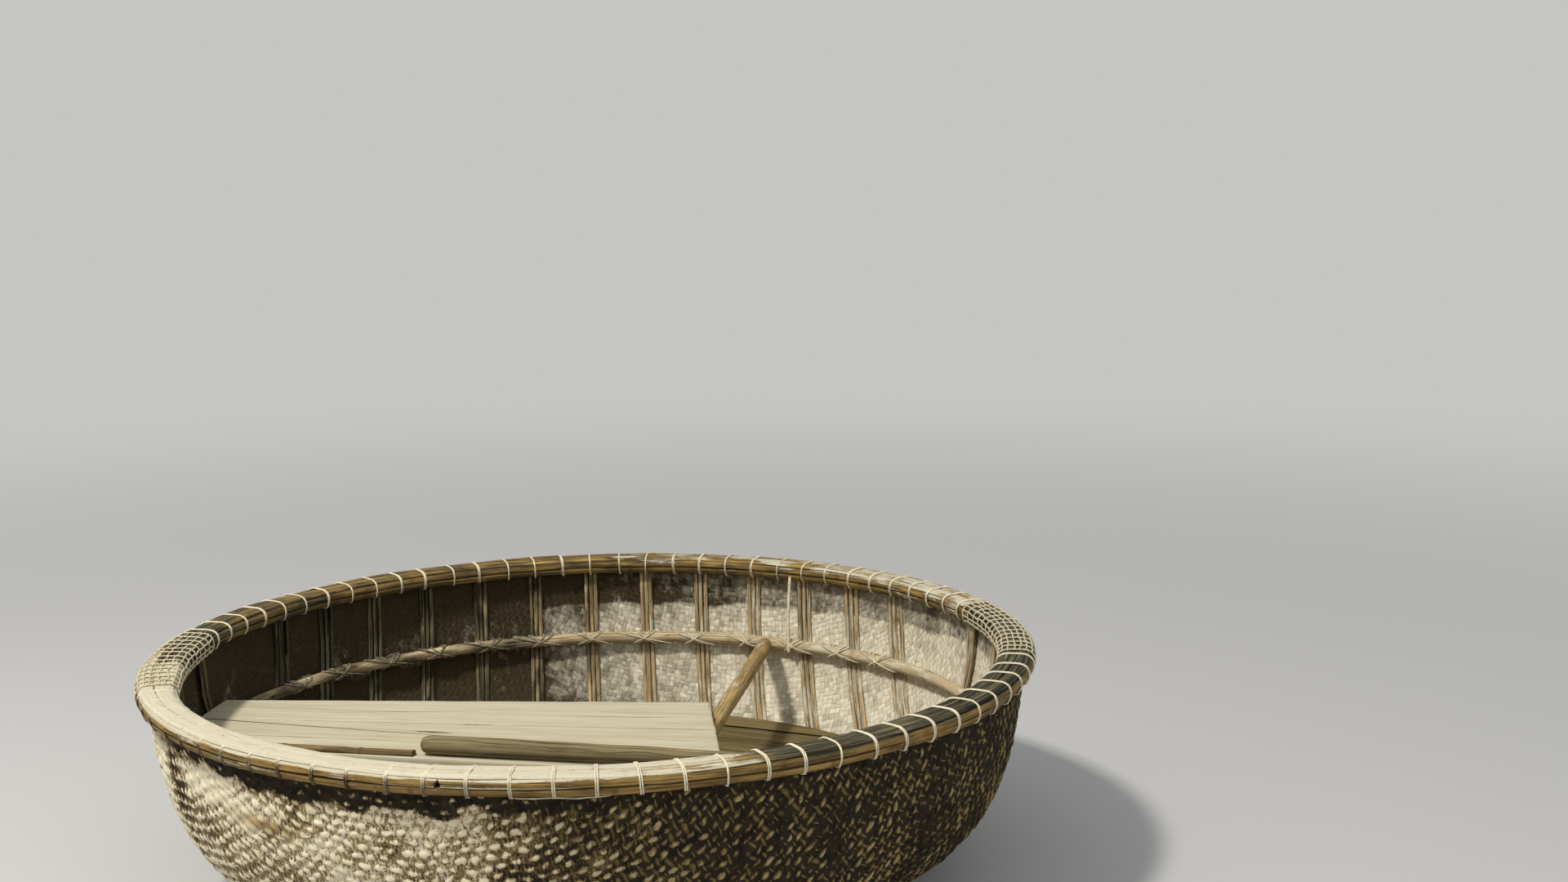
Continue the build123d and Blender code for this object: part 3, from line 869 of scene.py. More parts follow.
def bamboo_group():
    """Split bamboo: straw to brown with age, then mouldy grey-green with painted shade, bleaching, cracks,
    painted shade in grooves, joints and specks.
    """
    tree, given, result = new_group(
        "split_bamboo",
        {"Straw": (COLOUR, paint(196, 160, 96)), "Brown": (COLOUR, paint(98, 70, 34)),
         "Bleached": (COLOUR, paint(206, 199, 173)), "Weathering": (NUMBER, 0.5)},
        {"Color": COLOUR, "Height": NUMBER},
    )
    at = {name: measured(tree, name) for name in BAMBOO}
    shift = times(tree, at["tone"], 37.0)

    def on_strip(along_scale, across_scale, detail):
        """Noise drawn out along the strip, and moved on by the strip's own tone."""
        along = times_plus(tree, at["along"], along_scale, shift)
        wide, thick = (times(tree, at[name], across_scale) for name in ("wide", "thick"))
        return noise(tree, vector(tree, along, wide, thick), 1.0, detail)

    streak = on_strip(5.0, 190.0, 4.0)
    cloud = on_strip(9.0, 30.0, 4.0)
    grit = on_strip(130.0, 420.0, 3.0)
    crack = maths(tree, "ABSOLUTE", minus(tree, on_strip(2.2, 150.0, 2.0), 0.5))
    crack = spread(tree, crack, 0.004, 0.016, 1.0, 0.0)
    speck = spread(tree, on_strip(70.0, 130.0, 2.0), 0.70, 0.73)

    age = plus(tree, times(tree, streak, 0.55), times(tree, cloud, 0.65))
    age = plus(tree, age, times(tree, given["Weathering"], 0.35))
    colour = blend(tree, spread(tree, age, 0.55, 0.98), given["Straw"], given["Brown"])
    # One grey-green colour for mould and for painted shade.
    mould = blend(tree, spread(tree, streak, 0.42, 0.70), paint(24, 23, 14), paint(132, 126, 92))
    cover = plus(tree, at["mould"], swing(tree, cloud, 0.25))
    colour = blend(tree, spread(tree, cover, 0.3, 0.7), colour, mould)
    cover = plus(tree, at["bleach"], swing(tree, cloud, 0.35))
    bleached = spread(tree, plus(tree, cover, swing(tree, streak, 0.25)), 0.42, 0.62)
    colour = blend(tree, bleached, colour, given["Bleached"])

    # Marks show less on bleached skin.
    bare = minus(tree, 1.0, bleached)
    colour = blend(tree, times(tree, crack, times_plus(tree, bare, 0.72, 0.13)), colour, paint(58, 42, 22))
    colour = blend(tree, times(tree, spread(tree, grit, 0.62, 0.70), 0.55), colour, paint(70, 52, 30))
    # Painted shade in the grooves where strips meet, fainter on bleached skin.
    groove = times(tree, at["groove"], times_plus(tree, bare, 0.85, 0.12))
    colour = blend(tree, groove, colour, paint(34, 25, 12))
    knot = times(tree, at["knot"], times_plus(tree, bare, 0.55, 0.10))
    colour = blend(tree, knot, colour, paint(74, 54, 28))
    colour = blend(tree, times(tree, speck, times(tree, bleached, 0.8)), colour, paint(58, 46, 28))
    feed(tree, result["Color"], colour)

    height = plus(tree, times(tree, streak, 0.6), times(tree, grit, 0.3))
    height = minus(tree, height, times(tree, crack, 0.8))
    feed(tree, result["Height"], times(tree, height, times_plus(tree, bare, 0.7, 0.3)))
    return tree


bamboo_paint = bamboo_group()


def bamboo(name, straw, brown, bleached=paint(206, 199, 173), weathering=0.5):
    """A bamboo material of these colours; weathering goes from 0, fresh, to 1, old."""
    material, tree, principled = shader(name)
    values = {"Straw": straw, "Brown": brown, "Bleached": bleached, "Weathering": weathering}
    painted = use(tree, bamboo_paint, values)
    finish(tree, principled, painted["Color"], painted["Height"], 0.0016, 0.72)
    return material


def with_shares(part, **shares):
    """Adds the bamboo shares that a part doesn't carry yet: a number for all of it, or one for each point."""
    points, faces, attributes = part
    for name in BAMBOO:
        value = shares.get(name, attributes.get(name, 0.0))
        attributes[name] = np.broadcast_to(value, len(points)).astype(float)
    return points, faces, attributes


rim_bamboo = bamboo("rim_bamboo", paint(186, 153, 86), paint(76, 55, 24), paint(199, 192, 167), 0.6)
rib_bamboo = bamboo("rib_bamboo", paint(204, 182, 138), paint(112, 84, 46), weathering=0.38)
hoop_bamboo = bamboo("hoop_bamboo", paint(222, 204, 162), paint(126, 90, 46), weathering=0.36)
print("bamboo group", len(bamboo_paint.nodes), "nodes")

# %% [markdown]
# The rim is six strips of split bamboo, two outside the mat, two inside and two laid over its edge. Each
# is a four-cornered section with rounded corners that goes once round the boat, waves a little, swells at
# its joints and is worn by bearing: bleached at the near left, grey-green and in painted shade at the near
# right, brown behind. Painted shade lies where strips meet, and a painted highlight along one strip's edge.

# %% Rim strips
middle_radius = (wall_inner + wall_outer) / 2
strip_outlines = {
    "rim_outer_strip_lower": [(wall_outer, rim_bottom), (rim_outer - 0.010, rim_bottom),
                              (rim_outer, strip_joint), (wall_outer, strip_joint)],
    "rim_outer_strip_upper": [(wall_outer, strip_joint), (rim_outer, strip_joint),
                              (rim_outer - 0.003, cap_bottom), (wall_outer, cap_bottom)],
    "rim_inner_strip_lower": [(rim_inner + 0.010, rim_bottom), (wall_inner, rim_bottom),
                              (wall_inner, strip_joint), (rim_inner, strip_joint)],
    "rim_inner_strip_upper": [(rim_inner, strip_joint), (wall_inner, strip_joint),
                              (wall_inner, cap_bottom), (rim_inner + 0.003, cap_bottom)],
    "rim_cap_strip_outer": [(middle_radius, cap_bottom), (rim_outer - 0.003, cap_bottom),
                            (rim_outer - 0.018, rim_top), (middle_radius, rim_top)],
    "rim_cap_strip_inner": [(rim_inner + 0.003, cap_bottom), (middle_radius, cap_bottom),
                            (middle_radius, rim_top), (rim_inner + 0.018, rim_top)],
}
bleach_table = {
    0: 0.40, 14: 0.66, 45: 0.60, 70: 0.48, 95: 0.22, 120: 0.0, 160: 0.05, 172: 0.42, 183: 1.0,
    200: 1.25, 248: 1.25, 256: 1.05, 270: 0.85, 284: 0.62, 291: 0.15, 300: 0.0, 345: 0.0, 354: 0.2,
}
# Mould by bearing; at the near right it also stands for painted shade.
mould_and_shade_table = {
    0: 0.75, 14: 0.35, 60: 0.35, 95: 0.40, 130: 0.42, 160: 0.60, 178: 0.7, 190: 0.0, 270: 0.0,
    284: 0.25, 292: 0.80, 300: 0.95, 350: 0.95, 356: 0.85,
}
face_table = {30: 0.5, 180: 0.6, 200: 0.95, 232: 0.92, 250: 0.98, 262: 0.84, 280: 0.72, 300: 0.9}
# Where a painted highlight runs along the lower edge of the upper outer strip.
joint_highlight_table = {228: 0.0, 246: 0.3, 254: 1.0, 285: 1.0, 295: 0.0}
notch = 253.0
notch_depth = 0.024


def rounded(outline, steps, roundness):
    """The outline's four corners blended: (1 +- u)(1 +- v) / 4, where (u, v) runs round a softened square."""
    turns = np.linspace(0, TURN, steps, endpoint=False) + math.pi / 4
    u, v = (np.sign(wave) * np.abs(wave) ** roundness for wave in (np.cos(turns), np.sin(turns)))
    shares = [(1 - u) * (1 - v), (1 + u) * (1 - v), (1 + u) * (1 + v), (1 - u) * (1 + v)]
    return np.stack(shares, axis=1) / 4 @ np.array(outline), u, v


def joints_near(run, spacing, seed, reach=0.006):
    """1 on a bamboo joint, falling to 0 over about `reach`, with joints roughly `spacing` apart."""
    chance = np.random.default_rng(seed)
    places = np.cumsum(chance.uniform(0.75, 1.25, int(np.max(run) / spacing) + 2) * spacing) - spacing
    near = np.min(np.abs(run[..., None] - places), axis=-1)
    return np.exp(-((near / reach) ** 2))


def bulge(angle, radius):
    """How far the padding under the left net pushes the rim's inner side inward."""
    turned = (np.degrees(angle) - 179 + 180) % 360 - 180
    inner_side = smooth_step(middle_radius + 0.010, rim_inner + 0.012, radius)
    return 0.017 * np.exp(-((turned / 15) ** 4)) * inner_side


def strip_wear(name, seed, angle, radius, height, section):
    """Bleach, and mouldy grey-green with painted shade, of a strip: bare on top and inside, still brown on
    the face turned to the water, with a painted highlight along the outer strips' joint.
    """
    outward = smooth_step(-0.4, 0.9, (section[:, 0] - middle_radius) / 0.04)[None, :]
    lower = smooth_step(cap_bottom + 0.003, cap_bottom - 0.008, height)
    face = by_bearing(angle, face_table)[:, None]
    if name == "rim_outer_strip_upper":
        # A painted highlight: a pale line along this strip's lower edge.
        near_joint = np.exp(-(((height - strip_joint - 0.0022) / 0.0018) ** 2))
        face = face - 0.6 * near_joint * by_bearing(angle, joint_highlight_table)[:, None]
    bleach = by_bearing(angle, bleach_table)[:, None] - face * lower * outward - 0.35 * lower * (1 - outward)
    bleach = bleach - 0.10 * smooth_step(0.2, 0.9, ripple(seed + 5, angle, 0 * angle, 0.2))[:, None]
    mould = by_bearing(angle, mould_and_shade_table)[:, None] * (1 - 0.75 * lower * outward)
    inner = smooth_step(middle_radius + 0.012, middle_radius - 0.006, radius)
    turned = (np.degrees(angle)[:, None] + 180) % 360 - 180
    under_net = np.exp(-((turned / 13.0) ** 6)) + np.exp(-(((turned % 360 - 172) / 9.5) ** 4)) * inner
    return bleach - 1.5 * under_net, mould + 0.8 * under_net


def rim_strip(name, seed):
    """One strip once round the boat: its section, waved, swollen at the joints, notched and worn."""
    section, u, v = rounded(strip_outlines[name], 26 if name == "rim_outer_strip_upper" else 16, 0.42)
    angle = np.linspace(0, TURN, 640) + math.radians(95)
    angle = np.sort(np.concatenate([angle, np.radians(notch + np.linspace(-0.42, 0.42, 15))]))
    run = angle * middle_radius
    joint = joints_near(run - run[0], 0.44, seed)
    wave = 0.0016 * ripple(seed, angle * 1.05, 0 * angle, 0.5)[:, None]
    sway = 0.0013 * ripple(seed + 1, angle * 1.05, 0 * angle, 0.4)[:, None]
    middle = section.mean(axis=0)
    swell = 1 + 0.07 * joint[:, None] + 0.03 * ripple(seed + 2, angle, 0 * angle, 0.16)[:, None]
    radius = middle[0] + (section[:, 0] - middle[0]) * swell + wave
    height = middle[1] + (section[:, 1] - middle[1]) * swell + sway
    split = 0 * radius
    if name == "rim_outer_strip_upper":
        half_wide = 0.38 * np.clip((cap_bottom - 0.001 - height) / (cap_bottom - strip_joint - 0.003), 0, 1)
        split = smooth_step(0.0, 0.10, half_wide - np.abs(np.degrees(angle) - notch)[:, None])
        radius = radius - notch_depth * split * smooth_step(rim_outer - 0.02, rim_outer - 0.008, radius)
    radius = radius - bulge(angle[:, None], radius)
    bleach, mould = strip_wear(name, seed, angle, radius, height, section)
    # Painted shade along the corners where strips meet and in the notch.
    groove = np.maximum(np.abs(u), np.abs(v)) - np.minimum(np.abs(u), np.abs(v))
    corner = smooth_step(0.30, 0.02, groove)[None, :] * np.ones_like(radius)
    points = np.stack([radius * np.cos(angle)[:, None], radius * np.sin(angle)[:, None], height], axis=-1)
    shares = {
        "along": run[:, None], "wide": section[None, :, 0], "thick": section[None, :, 1], "tone": seed * 0.13,
        "bleach": bleach - 2 * split, "mould": mould, "groove": np.maximum(corner * 0.8, split > 0),
        "knot": joint[:, None],
    }
    shares = {key: np.broadcast_to(value, radius.shape).ravel() for key, value in shares.items()}
    return points.reshape(-1, 3), grid(len(angle), len(section), wrap_columns=True), shares


for seed, name in enumerate(strip_outlines):
    place(name + "_worn", rim_strip(name, 40 + 7 * seed), rim_bamboo, [name])

# %% [markdown]
# Twine
#
# Twine is thin tubes. Its material draws the lay as a fine slanted line and turns from pale to dark with
# the `tone` that the mesh carries: tarred on the lashings, and on the hoop's ties at the far left painted
# shade.

# %% Twine material
def twine_material(name, pale, dark):
    """Twine between these two colours, with a fine slanted lay."""
    material, tree, principled = shader(name)
    turn = maths(tree, "ARCTAN2", measured(tree, "thick"), measured(tree, "wide"))
    lay = maths(tree, "SINE", times_plus(tree, measured(tree, "along"), 1500.0, turn))
    spot = add(tree, "ShaderNodeTexCoord").outputs["Object"]
    cloud = noise(tree, spot, 90.0, 3.0)
    level = plus(tree, measured(tree, "tone"), swing(tree, cloud, 0.2))
    colour = blend(tree, spread(tree, level, 0.0, 1.0), pale, dark)
    finish(tree, principled, colour, times_plus(tree, lay, 0.5, cloud), 0.0006, 0.9)
    return material


def twine_shares(tube_shares, tone):
    """A tube's attributes as the twine material wants them."""
    turns = tube_shares["around"] * TURN
    tone = np.full(len(turns), float(tone))
    return {"along": tube_shares["along"], "wide": np.cos(turns), "thick": np.sin(turns), "tone": tone}


twine = twine_material("twine", paint(232, 222, 192), paint(66, 46, 24))
print("twine material", len(twine.node_tree.nodes), "nodes")

# %% [markdown]
# One or two strands go over the rim at each place, from one foot of the outer strips to the foot of the
# inner ones. Where the sun has bleached the rim, the twine on top is as white as the rim and lies close to
# it, and only its dark, tarred turns on the outer face show.

# %% Lashings
def softened(corners):
    """A path with its corners cut twice, each time a quarter of the way along both sides (ends kept)."""
    path = np.asarray(corners, float)
    for _ in range(2):
        first, second = path[:-1], path[1:]
        cut = np.stack([0.75 * first + 0.25 * second, 0.25 * first + 0.75 * second], axis=1)
        path = np.concatenate([path[:1], cut.reshape(-1, path.shape[1]), path[-1:]])
    return path


def over_rim(lift):
    """The way over the rim from foot to foot, as radius and height, lifted clear of the strips."""
    outer, inner, top, foot = rim_outer + lift, rim_inner - lift, rim_top + lift, rim_bottom - lift
    return softened([
        (wall_outer + 0.002, foot), (outer - 0.012, foot), (outer - 0.008, foot + 0.004),
        (outer, strip_joint), (outer - 0.003, cap_bottom), (outer - 0.019, top),
        (middle_radius, top + 0.0005),
        (inner + 0.019, top), (inner + 0.003, cap_bottom), (inner, strip_joint),
        (inner + 0.008, foot + 0.004), (inner + 0.012, foot), (wall_inner - 0.002, foot),
    ])


def round_boat(reach, angles, level):
    """Points at these radii, bearings and heights."""
    return np.stack([reach * np.cos(angles), reach * np.sin(angles), level], axis=-1)


def strand(route, angles, radius, sides=5, tone=0.0):
    """Twine along a route of radius and height, each point at its own bearing."""
    path = round_boat(route[:, 0], angles, route[:, 1])
    aside = np.stack([-np.sin(angles), np.cos(angles), 0 * angles], axis=-1)
    points, faces, shares = tube(path, radius, aside, sides)
    return points, faces, twine_shares(shares, tone)


bay_pitch = TURN / bays
single_radius, paired_radius, pair_step = 0.0023, 0.0018, 0.0018
chance = np.random.default_rng(5)
route = over_rim(0.0014)
share_across = np.linspace(0, 1, len(route))
turns_over = []
for bay in [*range(3, 36), *range(42, 75)]:
    middle_angle = (bay + 0.5) * bay_pitch
    slant = chance.normal(0.0, 0.007) + 0.004
    bend = chance.normal(0.0, 0.002)
    bared = by_bearing(middle_angle, {184: 1.0, 190: 0.0, 250: 0.0, 257: 1.0})
    dark = by_bearing(middle_angle, {
        184: 0.0, 192: 0.9, 246: 0.85, 256: 0.5, 264: 0.22, 285: 0.10, 350: 0.2, 10: 0.3, 95: 0.3, 160: 0.12,
    })
    on_top = smooth_step(rim_top - 0.010, rim_top - 0.001, route[:, 1]) + (route[:, 0] < middle_radius)
    laid = route - np.array([0.0, 0.0036]) * (1 - bared) * np.clip(on_top, 0, 1)[:, None]
    laid[:, 0] -= bulge(middle_angle, laid[:, 0])
    pair = chance.random() < 0.6
    for side_step in (-pair_step, pair_step) if pair else (0.0,):
        sway = side_step * (1 + 0.3 * chance.random()) + slant * (0.5 - share_across)
        sway = sway + bend * np.sin(share_across * math.pi)
        radius = (paired_radius if pair else single_radius) + 0.0003 * chance.random()
        points, faces, shares = strand(laid, middle_angle + sway / middle_radius, radius)
        foot_share = np.repeat(smooth_step(rim_top - 0.004, rim_top - 0.022, route[:, 1]), 5)
        shares["tone"] = np.clip(dark * foot_share + 0.12 * chance.random(), 0, 1)
        turns_over.append((points, faces, shares))
place("rim_lashings_twine", joined(turns_over), twine, ["rim_lashings"])

# %% [markdown]
# At both ends a net of thin twine is wrapped over the rim. Its long strands follow the rim, its cross
# strands go over it, and both wander a little.

# %% Nets at the ends
net_twine = twine_material("net_twine", paint(214, 204, 172), paint(96, 78, 50))
mesh_width, mesh_length = 0.0150, 0.038
net_radius, net_tone = 0.0021, 0.15
net_reach = 3 * bay_pitch


def net(middle_angle, seed):
    """A net wrapped over the rim, centred on one bearing."""
    route = over_rim(0.0022)
    steps = walked_along(route)
    parts = []
    for level in np.arange(0.012, steps[-1] - 0.01, mesh_width):
        angles = np.linspace(-net_reach, net_reach, 60)
        drift = level + 0.0022 * ripple(seed + int(level * 1000), angles * 1.05, 0 * angles, 0.08)
        reach, height = np.interp(drift, steps, route[:, 0]), np.interp(drift, steps, route[:, 1])
        reach = reach - bulge(angles + middle_angle, reach)
        path = round_boat(reach, angles + middle_angle, height)
        up_way = np.tile((0.0, 0.0, 1.0), (len(path), 1)) + 0.001
        points, faces, shares = tube(path, net_radius, up_way, 4)
        parts.append((points, faces, twine_shares(shares, net_tone)))
    count = int(2 * net_reach * middle_radius / mesh_length)
    for number in range(count + 1):
        angle = middle_angle - net_reach + 2 * net_reach * number / count
        sway = 0.0022 * ripple(seed + 100 + number, steps, 0 * steps, 0.07) / middle_radius
        laid = route - np.stack([bulge(angle, route[:, 0]), 0 * route[:, 0]], axis=-1)
        parts.append(strand(laid, angle + sway, net_radius, 4, net_tone))
    return joined(parts)


place("rim_net_right_twine", net(0.0, 200), net_twine, ["rim_net_right"])
place("rim_net_left_twine", net(math.pi, 500), net_twine, ["rim_net_left"])

# %% [markdown]
# Ribs and the hoop inside
#
# A rib is three narrow strips side by side. Each lies in an upright plane, so its line is the bowl's inner
# side cut by that plane: at a distance d from the rib's middle the radius is sqrt(place^2 + d^2), and the
# side's table turns the radius into a height.

# %% Ribs
walk_table = np.linspace(0, side_length, 1500)
wall_gap = wall_outer - wall_inner
rib_inset = wall_gap + 0.0042
strip_pitch, strip_wide, strip_thick = 0.0128, 0.0118, 0.0080
long_numbers, long_apart = range(-6, 7), 9.0


def side_height(radius, inset):
    """The height at which the bowl's side, this far in, has the given radius."""
    table_radius, table_height, _ = side(walk_table, inset)
    return np.interp(-radius, -table_radius, table_height)


def flat_strip(path, across_way, wide, thick, roundness=0.55, sides=8):
    """A strip of the given width and thickness carried along a path, with rounded edges."""
    along = unit(np.gradient(path, axis=0))
    across = unit(across_way - along * np.sum(across_way * along, axis=-1, keepdims=True))
    face = np.cross(along, across)
    turns = np.linspace(0, TURN, sides, endpoint=False) + TURN / sides / 2
    u, v = (np.sign(wave) * np.abs(wave) ** roundness for wave in (np.cos(turns), np.sin(turns)))
    wide, thick = (np.broadcast_to(value, len(path))[:, None] for value in (wide, thick))
    ring = (u * wide / 2)[..., None] * across[:, None] + (v * thick / 2)[..., None] * face[:, None]
    run = np.broadcast_to(walked_along(path)[:, None], (len(path), sides))
    shares = {"along": run.ravel(), "wide": (u * wide / 2).ravel(), "thick": (v * thick / 2).ravel()}
    return (path[:, None] + ring).reshape(-1, 3), grid(len(path), sides, wrap_columns=True)[:, ::-1], shares


def rib(place_at, turned, inset, seed):
    """Three strips of one rib at a distance from the axis; turned ones run along X instead of Y."""
    parts = []
    chance = np.random.default_rng(seed)
    for number in (-1, 0, 1):
        strip_at = place_at + number * strip_pitch
        top_radius = float(side(0.0, inset)[0]) - 0.0005
        reach = math.sqrt(top_radius ** 2 - strip_at ** 2)
        sweep = np.linspace(-1, 1, 76)
        lane = strip_at + 0.0012 * ripple(seed + number, sweep, 0 * sweep, 0.6)
        along = reach * np.sign(sweep) * (1 - (1 - np.abs(sweep)) ** 1.35)
        radius = np.minimum(np.sqrt(lane ** 2 + along ** 2), top_radius)
        height = side_height(radius, inset)
        height[0] = height[-1] = cap_bottom - 0.030
        lift = 0.0010 * ripple(seed + 9 + number, sweep, 0 * sweep, 0.5)
        path = np.stack([lane, along, height + lift], axis=-1)
        if turned:
            path = np.stack([-along, lane, height + lift], axis=-1)
        aside = np.tile((0.0, 1.0, 0.0) if turned else (1.0, 0.0, 0.0), (len(path), 1))
        points, faces, shares = flat_strip(path, aside, strip_wide + 0.0008 * chance.normal(), strip_thick)
        joint = joints_near(shares["along"] + chance.uniform(0, 0.3), 0.33, seed + 3 * number, 0.005)
        bearing = np.arctan2(points[:, 1], points[:, 0])
        bleach = by_bearing(bearing, {0: 0.42, 40: 0.45, 75: 0.34, 100: 0.0, 200: 0.0, 300: 0.1})
        # Mouldy grey-green by bearing, at the far left painted shade.
        mould = by_bearing(bearing, {0: 0.0, 70: 0.05, 100: 0.60, 122: 0.76, 200: 0.76, 230: 0.5, 300: 0.2})
        # Painted shade along each strip's edges, where it meets the next.
        groove = 0.5 * smooth_step(0.75, 1.0, np.abs(shares["wide"]) / (strip_wide / 2))
        parts.append(with_shares((points, faces, shares), tone=chance.random(), bleach=bleach, mould=mould,
                                 knot=joint, groove=groove))
    return parts


def ribs(numbers, apart, turned, inset, first_seed):
    """The strips of all ribs of one set; their places are equal steps of the bearing at the wall."""
    parts = []
    for index, number in enumerate(numbers):
        place_at = wall_inner * math.sin(math.radians(apart * number))
        parts += rib(place_at, turned, inset, first_seed + 20 * index)
    return joined(parts)


place("long_ribs_split", ribs(long_numbers, long_apart, False, rib_inset, 300), rib_bamboo,
      ["long_ribs"])
place("cross_ribs_split", ribs((-1.5, -0.5, 0.5, 1.5), 9.4, True, rib_inset + 0.006, 700), rib_bamboo,
      ["cross_ribs"])

# %% [markdown]
# The hoop is a whole bamboo pole bent into a ring. A pole is a tube that thickens at each joint.

# %% Hoop
hoop_low, hoop_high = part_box("stringer_hoop")
hoop_height = (hoop_low[2] + hoop_high[2]) / 2
pole_radius = (hoop_high[2] - hoop_low[2]) / 2
hoop_radius = (hoop_high[0] - hoop_low[0]) / 2 - pole_radius


def pole(path, radius, aside, seed, spacing=0.36, sides=14, **shares):
    """A bamboo pole: a tube that thickens and bears a ridge at each joint."""
    run = walked_along(path)
    joint = joints_near(run, spacing, seed, 0.007)
    swell = radius * (1 + 0.10 * joint + 0.03 * ripple(seed, run, 0 * run, 0.3))
    points, faces, found = tube(path, swell, aside, sides)
    turns = found.pop("around") * TURN
    found["wide"], found["thick"] = radius * np.cos(turns), radius * np.sin(turns)
    found["knot"] = np.repeat(joints_near(run, spacing, seed, 0.004), sides)
    ends = [np.arange(sides)[::-1], np.arange(len(points) - sides, len(points))]
    return with_shares((points, faces, found), **shares), ends


angles = np.linspace(0, TURN, 420) + math.radians(200)
wander = 0.0018 * ripple(61, angles, 0 * angles, 0.7)
path = round_boat(hoop_radius, angles, hoop_height + wander)
aside = np.tile((0.0, 0.0, 1.0), (len(path), 1))
part, _ = pole(path, pole_radius * 0.985, aside, 62, tone=0.3)
bearing = np.arctan2(part[0][:, 1], part[0][:, 0])
part[2]["bleach"] = by_bearing(bearing, {0: 0.45, 50: 0.4, 90: 0.2, 110: 0.0, 220: 0.0, 300: 0.2})
# Mouldy grey-green by bearing, at the far left painted shade.
part[2]["mould"] = by_bearing(bearing, {0: 0.0, 80: 0.0, 105: 0.5, 200: 0.5, 290: 0.1})
place("stringer_hoop_pole", part, hoop_bamboo, ["stringer_hoop"])

# %% [markdown]
# Twine crosses over the hoop wherever it passes a rib. Each turn is a ring round the pole that leans, so
# the turns of one tie cross each other.

# %% Ties on the hoop
tie_radius, tie_sides = 0.0021, 4
ties = []
rib_bearings = [math.acos(math.sin(math.radians(long_apart * number))) for number in long_numbers]
rib_bearings = rib_bearings + [-bearing for bearing in rib_bearings]
chance = np.random.default_rng(9)
for bearing in rib_bearings:
    # Darker round the left side; at the far left it is painted shade.
    tone = by_bearing(bearing, {0: 0.0, 80: 0.2, 110: 0.8, 250: 0.6})
    for lean in (-1, -0.6, 0.7, 1, 2.2):
        turn = np.linspace(0, TURN, 22)
        reach = pole_radius + 0.0022
        tilt = lean * (1.3 + 0.9 * chance.random())
        out, rise = reach * np.cos(turn), reach * np.sin(turn)
        slide = tilt * rise + 0.001 * chance.normal()
        angle = bearing + (slide + 0.004 * chance.normal()) / hoop_radius
        route = np.stack([hoop_radius - out, hoop_height + rise], axis=-1)
        ties.append(strand(route, angle, tie_radius, tie_sides, tone))
place("hoop_ties", joined(ties), twine)

# %% [markdown]
# Two loose ends show in front: twine along the outer strips' foot, and a cane from the rim to the hoop.

# %% Loose ends
angles = np.radians(np.linspace(261.0, 271.5, 40))
tuck = 0.008 * np.linspace(-1, 1, 40) ** 8
reach = rim_outer - 0.0085 + 0.001 * ripple(81, angles * 1.05, 0 * angles, 0.05) - tuck
level = rim_bottom - 0.0004 + 0.0015 * ripple(82, angles * 1.05, 0 * angles, 0.07)
foot_path = round_boat(reach, angles, level)

share = np.linspace(0, 1, 24)
reach = (rim_inner + 0.004) * (1 - share) + (hoop_radius - pole_radius - 0.003) * share
reach = reach - 0.006 * np.sin(share * math.pi)
level = rim_bottom + 0.012 - (rim_bottom + 0.012 - hoop_height + pole_radius) * share
cane_path = round_boat(reach, np.radians(55.3 - 0.7 * share), level)

loose = []
for path, radius, tone in ((foot_path, 0.0016, 0.35), (cane_path, 0.0046, 0.12)):
    points, faces, shares = tube(path, radius, np.tile((0.1, 0.0, 1.0), (len(path), 1)), 6)
    loose.append((points, faces, twine_shares(shares, tone)))
place("loose_twine", joined(loose), twine)

# %% [markdown]
# Sawn wood
#
# The grain is noise drawn out along a board, on lanes that drift a little, so its lines bend. The seat
# boards' long splits are lens-shaped gaps between two points each, as large as the photograph shows them.

# %% Wood material
def wood_group():
    """Weathered sawn wood: streaks, clouds and fine dark checks along each board."""
    tree, given, result = new_group(
        "weathered_wood",
        {"Pale": (COLOUR, paint(150, 140, 104)), "Dark": (COLOUR, paint(74, 62, 38)),
         "Checks": (NUMBER, 0.5)},
        {"Color": COLOUR, "Height": NUMBER},
    )
    along, wide, thick, tone = (measured(tree, name) for name in ("along", "wide", "thick", "tone"))
    shift = times_plus(tree, tone, 53.0, times(tree, along, 2.2))
    drift = noise(tree, vector(tree, shift, times(tree, wide, 9.0)), 1.0, 2.0)
    lane = times_plus(tree, drift, 5.0, times(tree, wide, 120.0))
    streak = noise(tree, vector(tree, shift, lane, times(tree, thick, 120.0)), 1.0, 5.0, 0.65)
    cloud = noise(tree, vector(tree, shift, times(tree, wide, 14.0), tone), 1.6, 4.0)
    checked = vector(tree, times(tree, shift, 0.35), times(tree, lane, 0.55), 3.7)
    check = maths(tree, "ABSOLUTE", minus(tree, noise(tree, checked, 1.0, 1.0), 0.5))
    checks = times(tree, spread(tree, check, 0.002, 0.012, 1.0, 0.0), given["Checks"])
    level = plus(tree, times(tree, streak, 0.7), times(tree, cloud, 0.45))
    level = plus(tree, level, times(tree, tone, 0.10))
    colour = blend(tree, spread(tree, level, 0.42, 0.82), given["Pale"], given["Dark"])
    colour = blend(tree, checks, colour, paint(38, 30, 18))
    feed(tree, result["Color"], colour)
    feed(tree, result["Height"], minus(tree, streak, checks))
    return tree


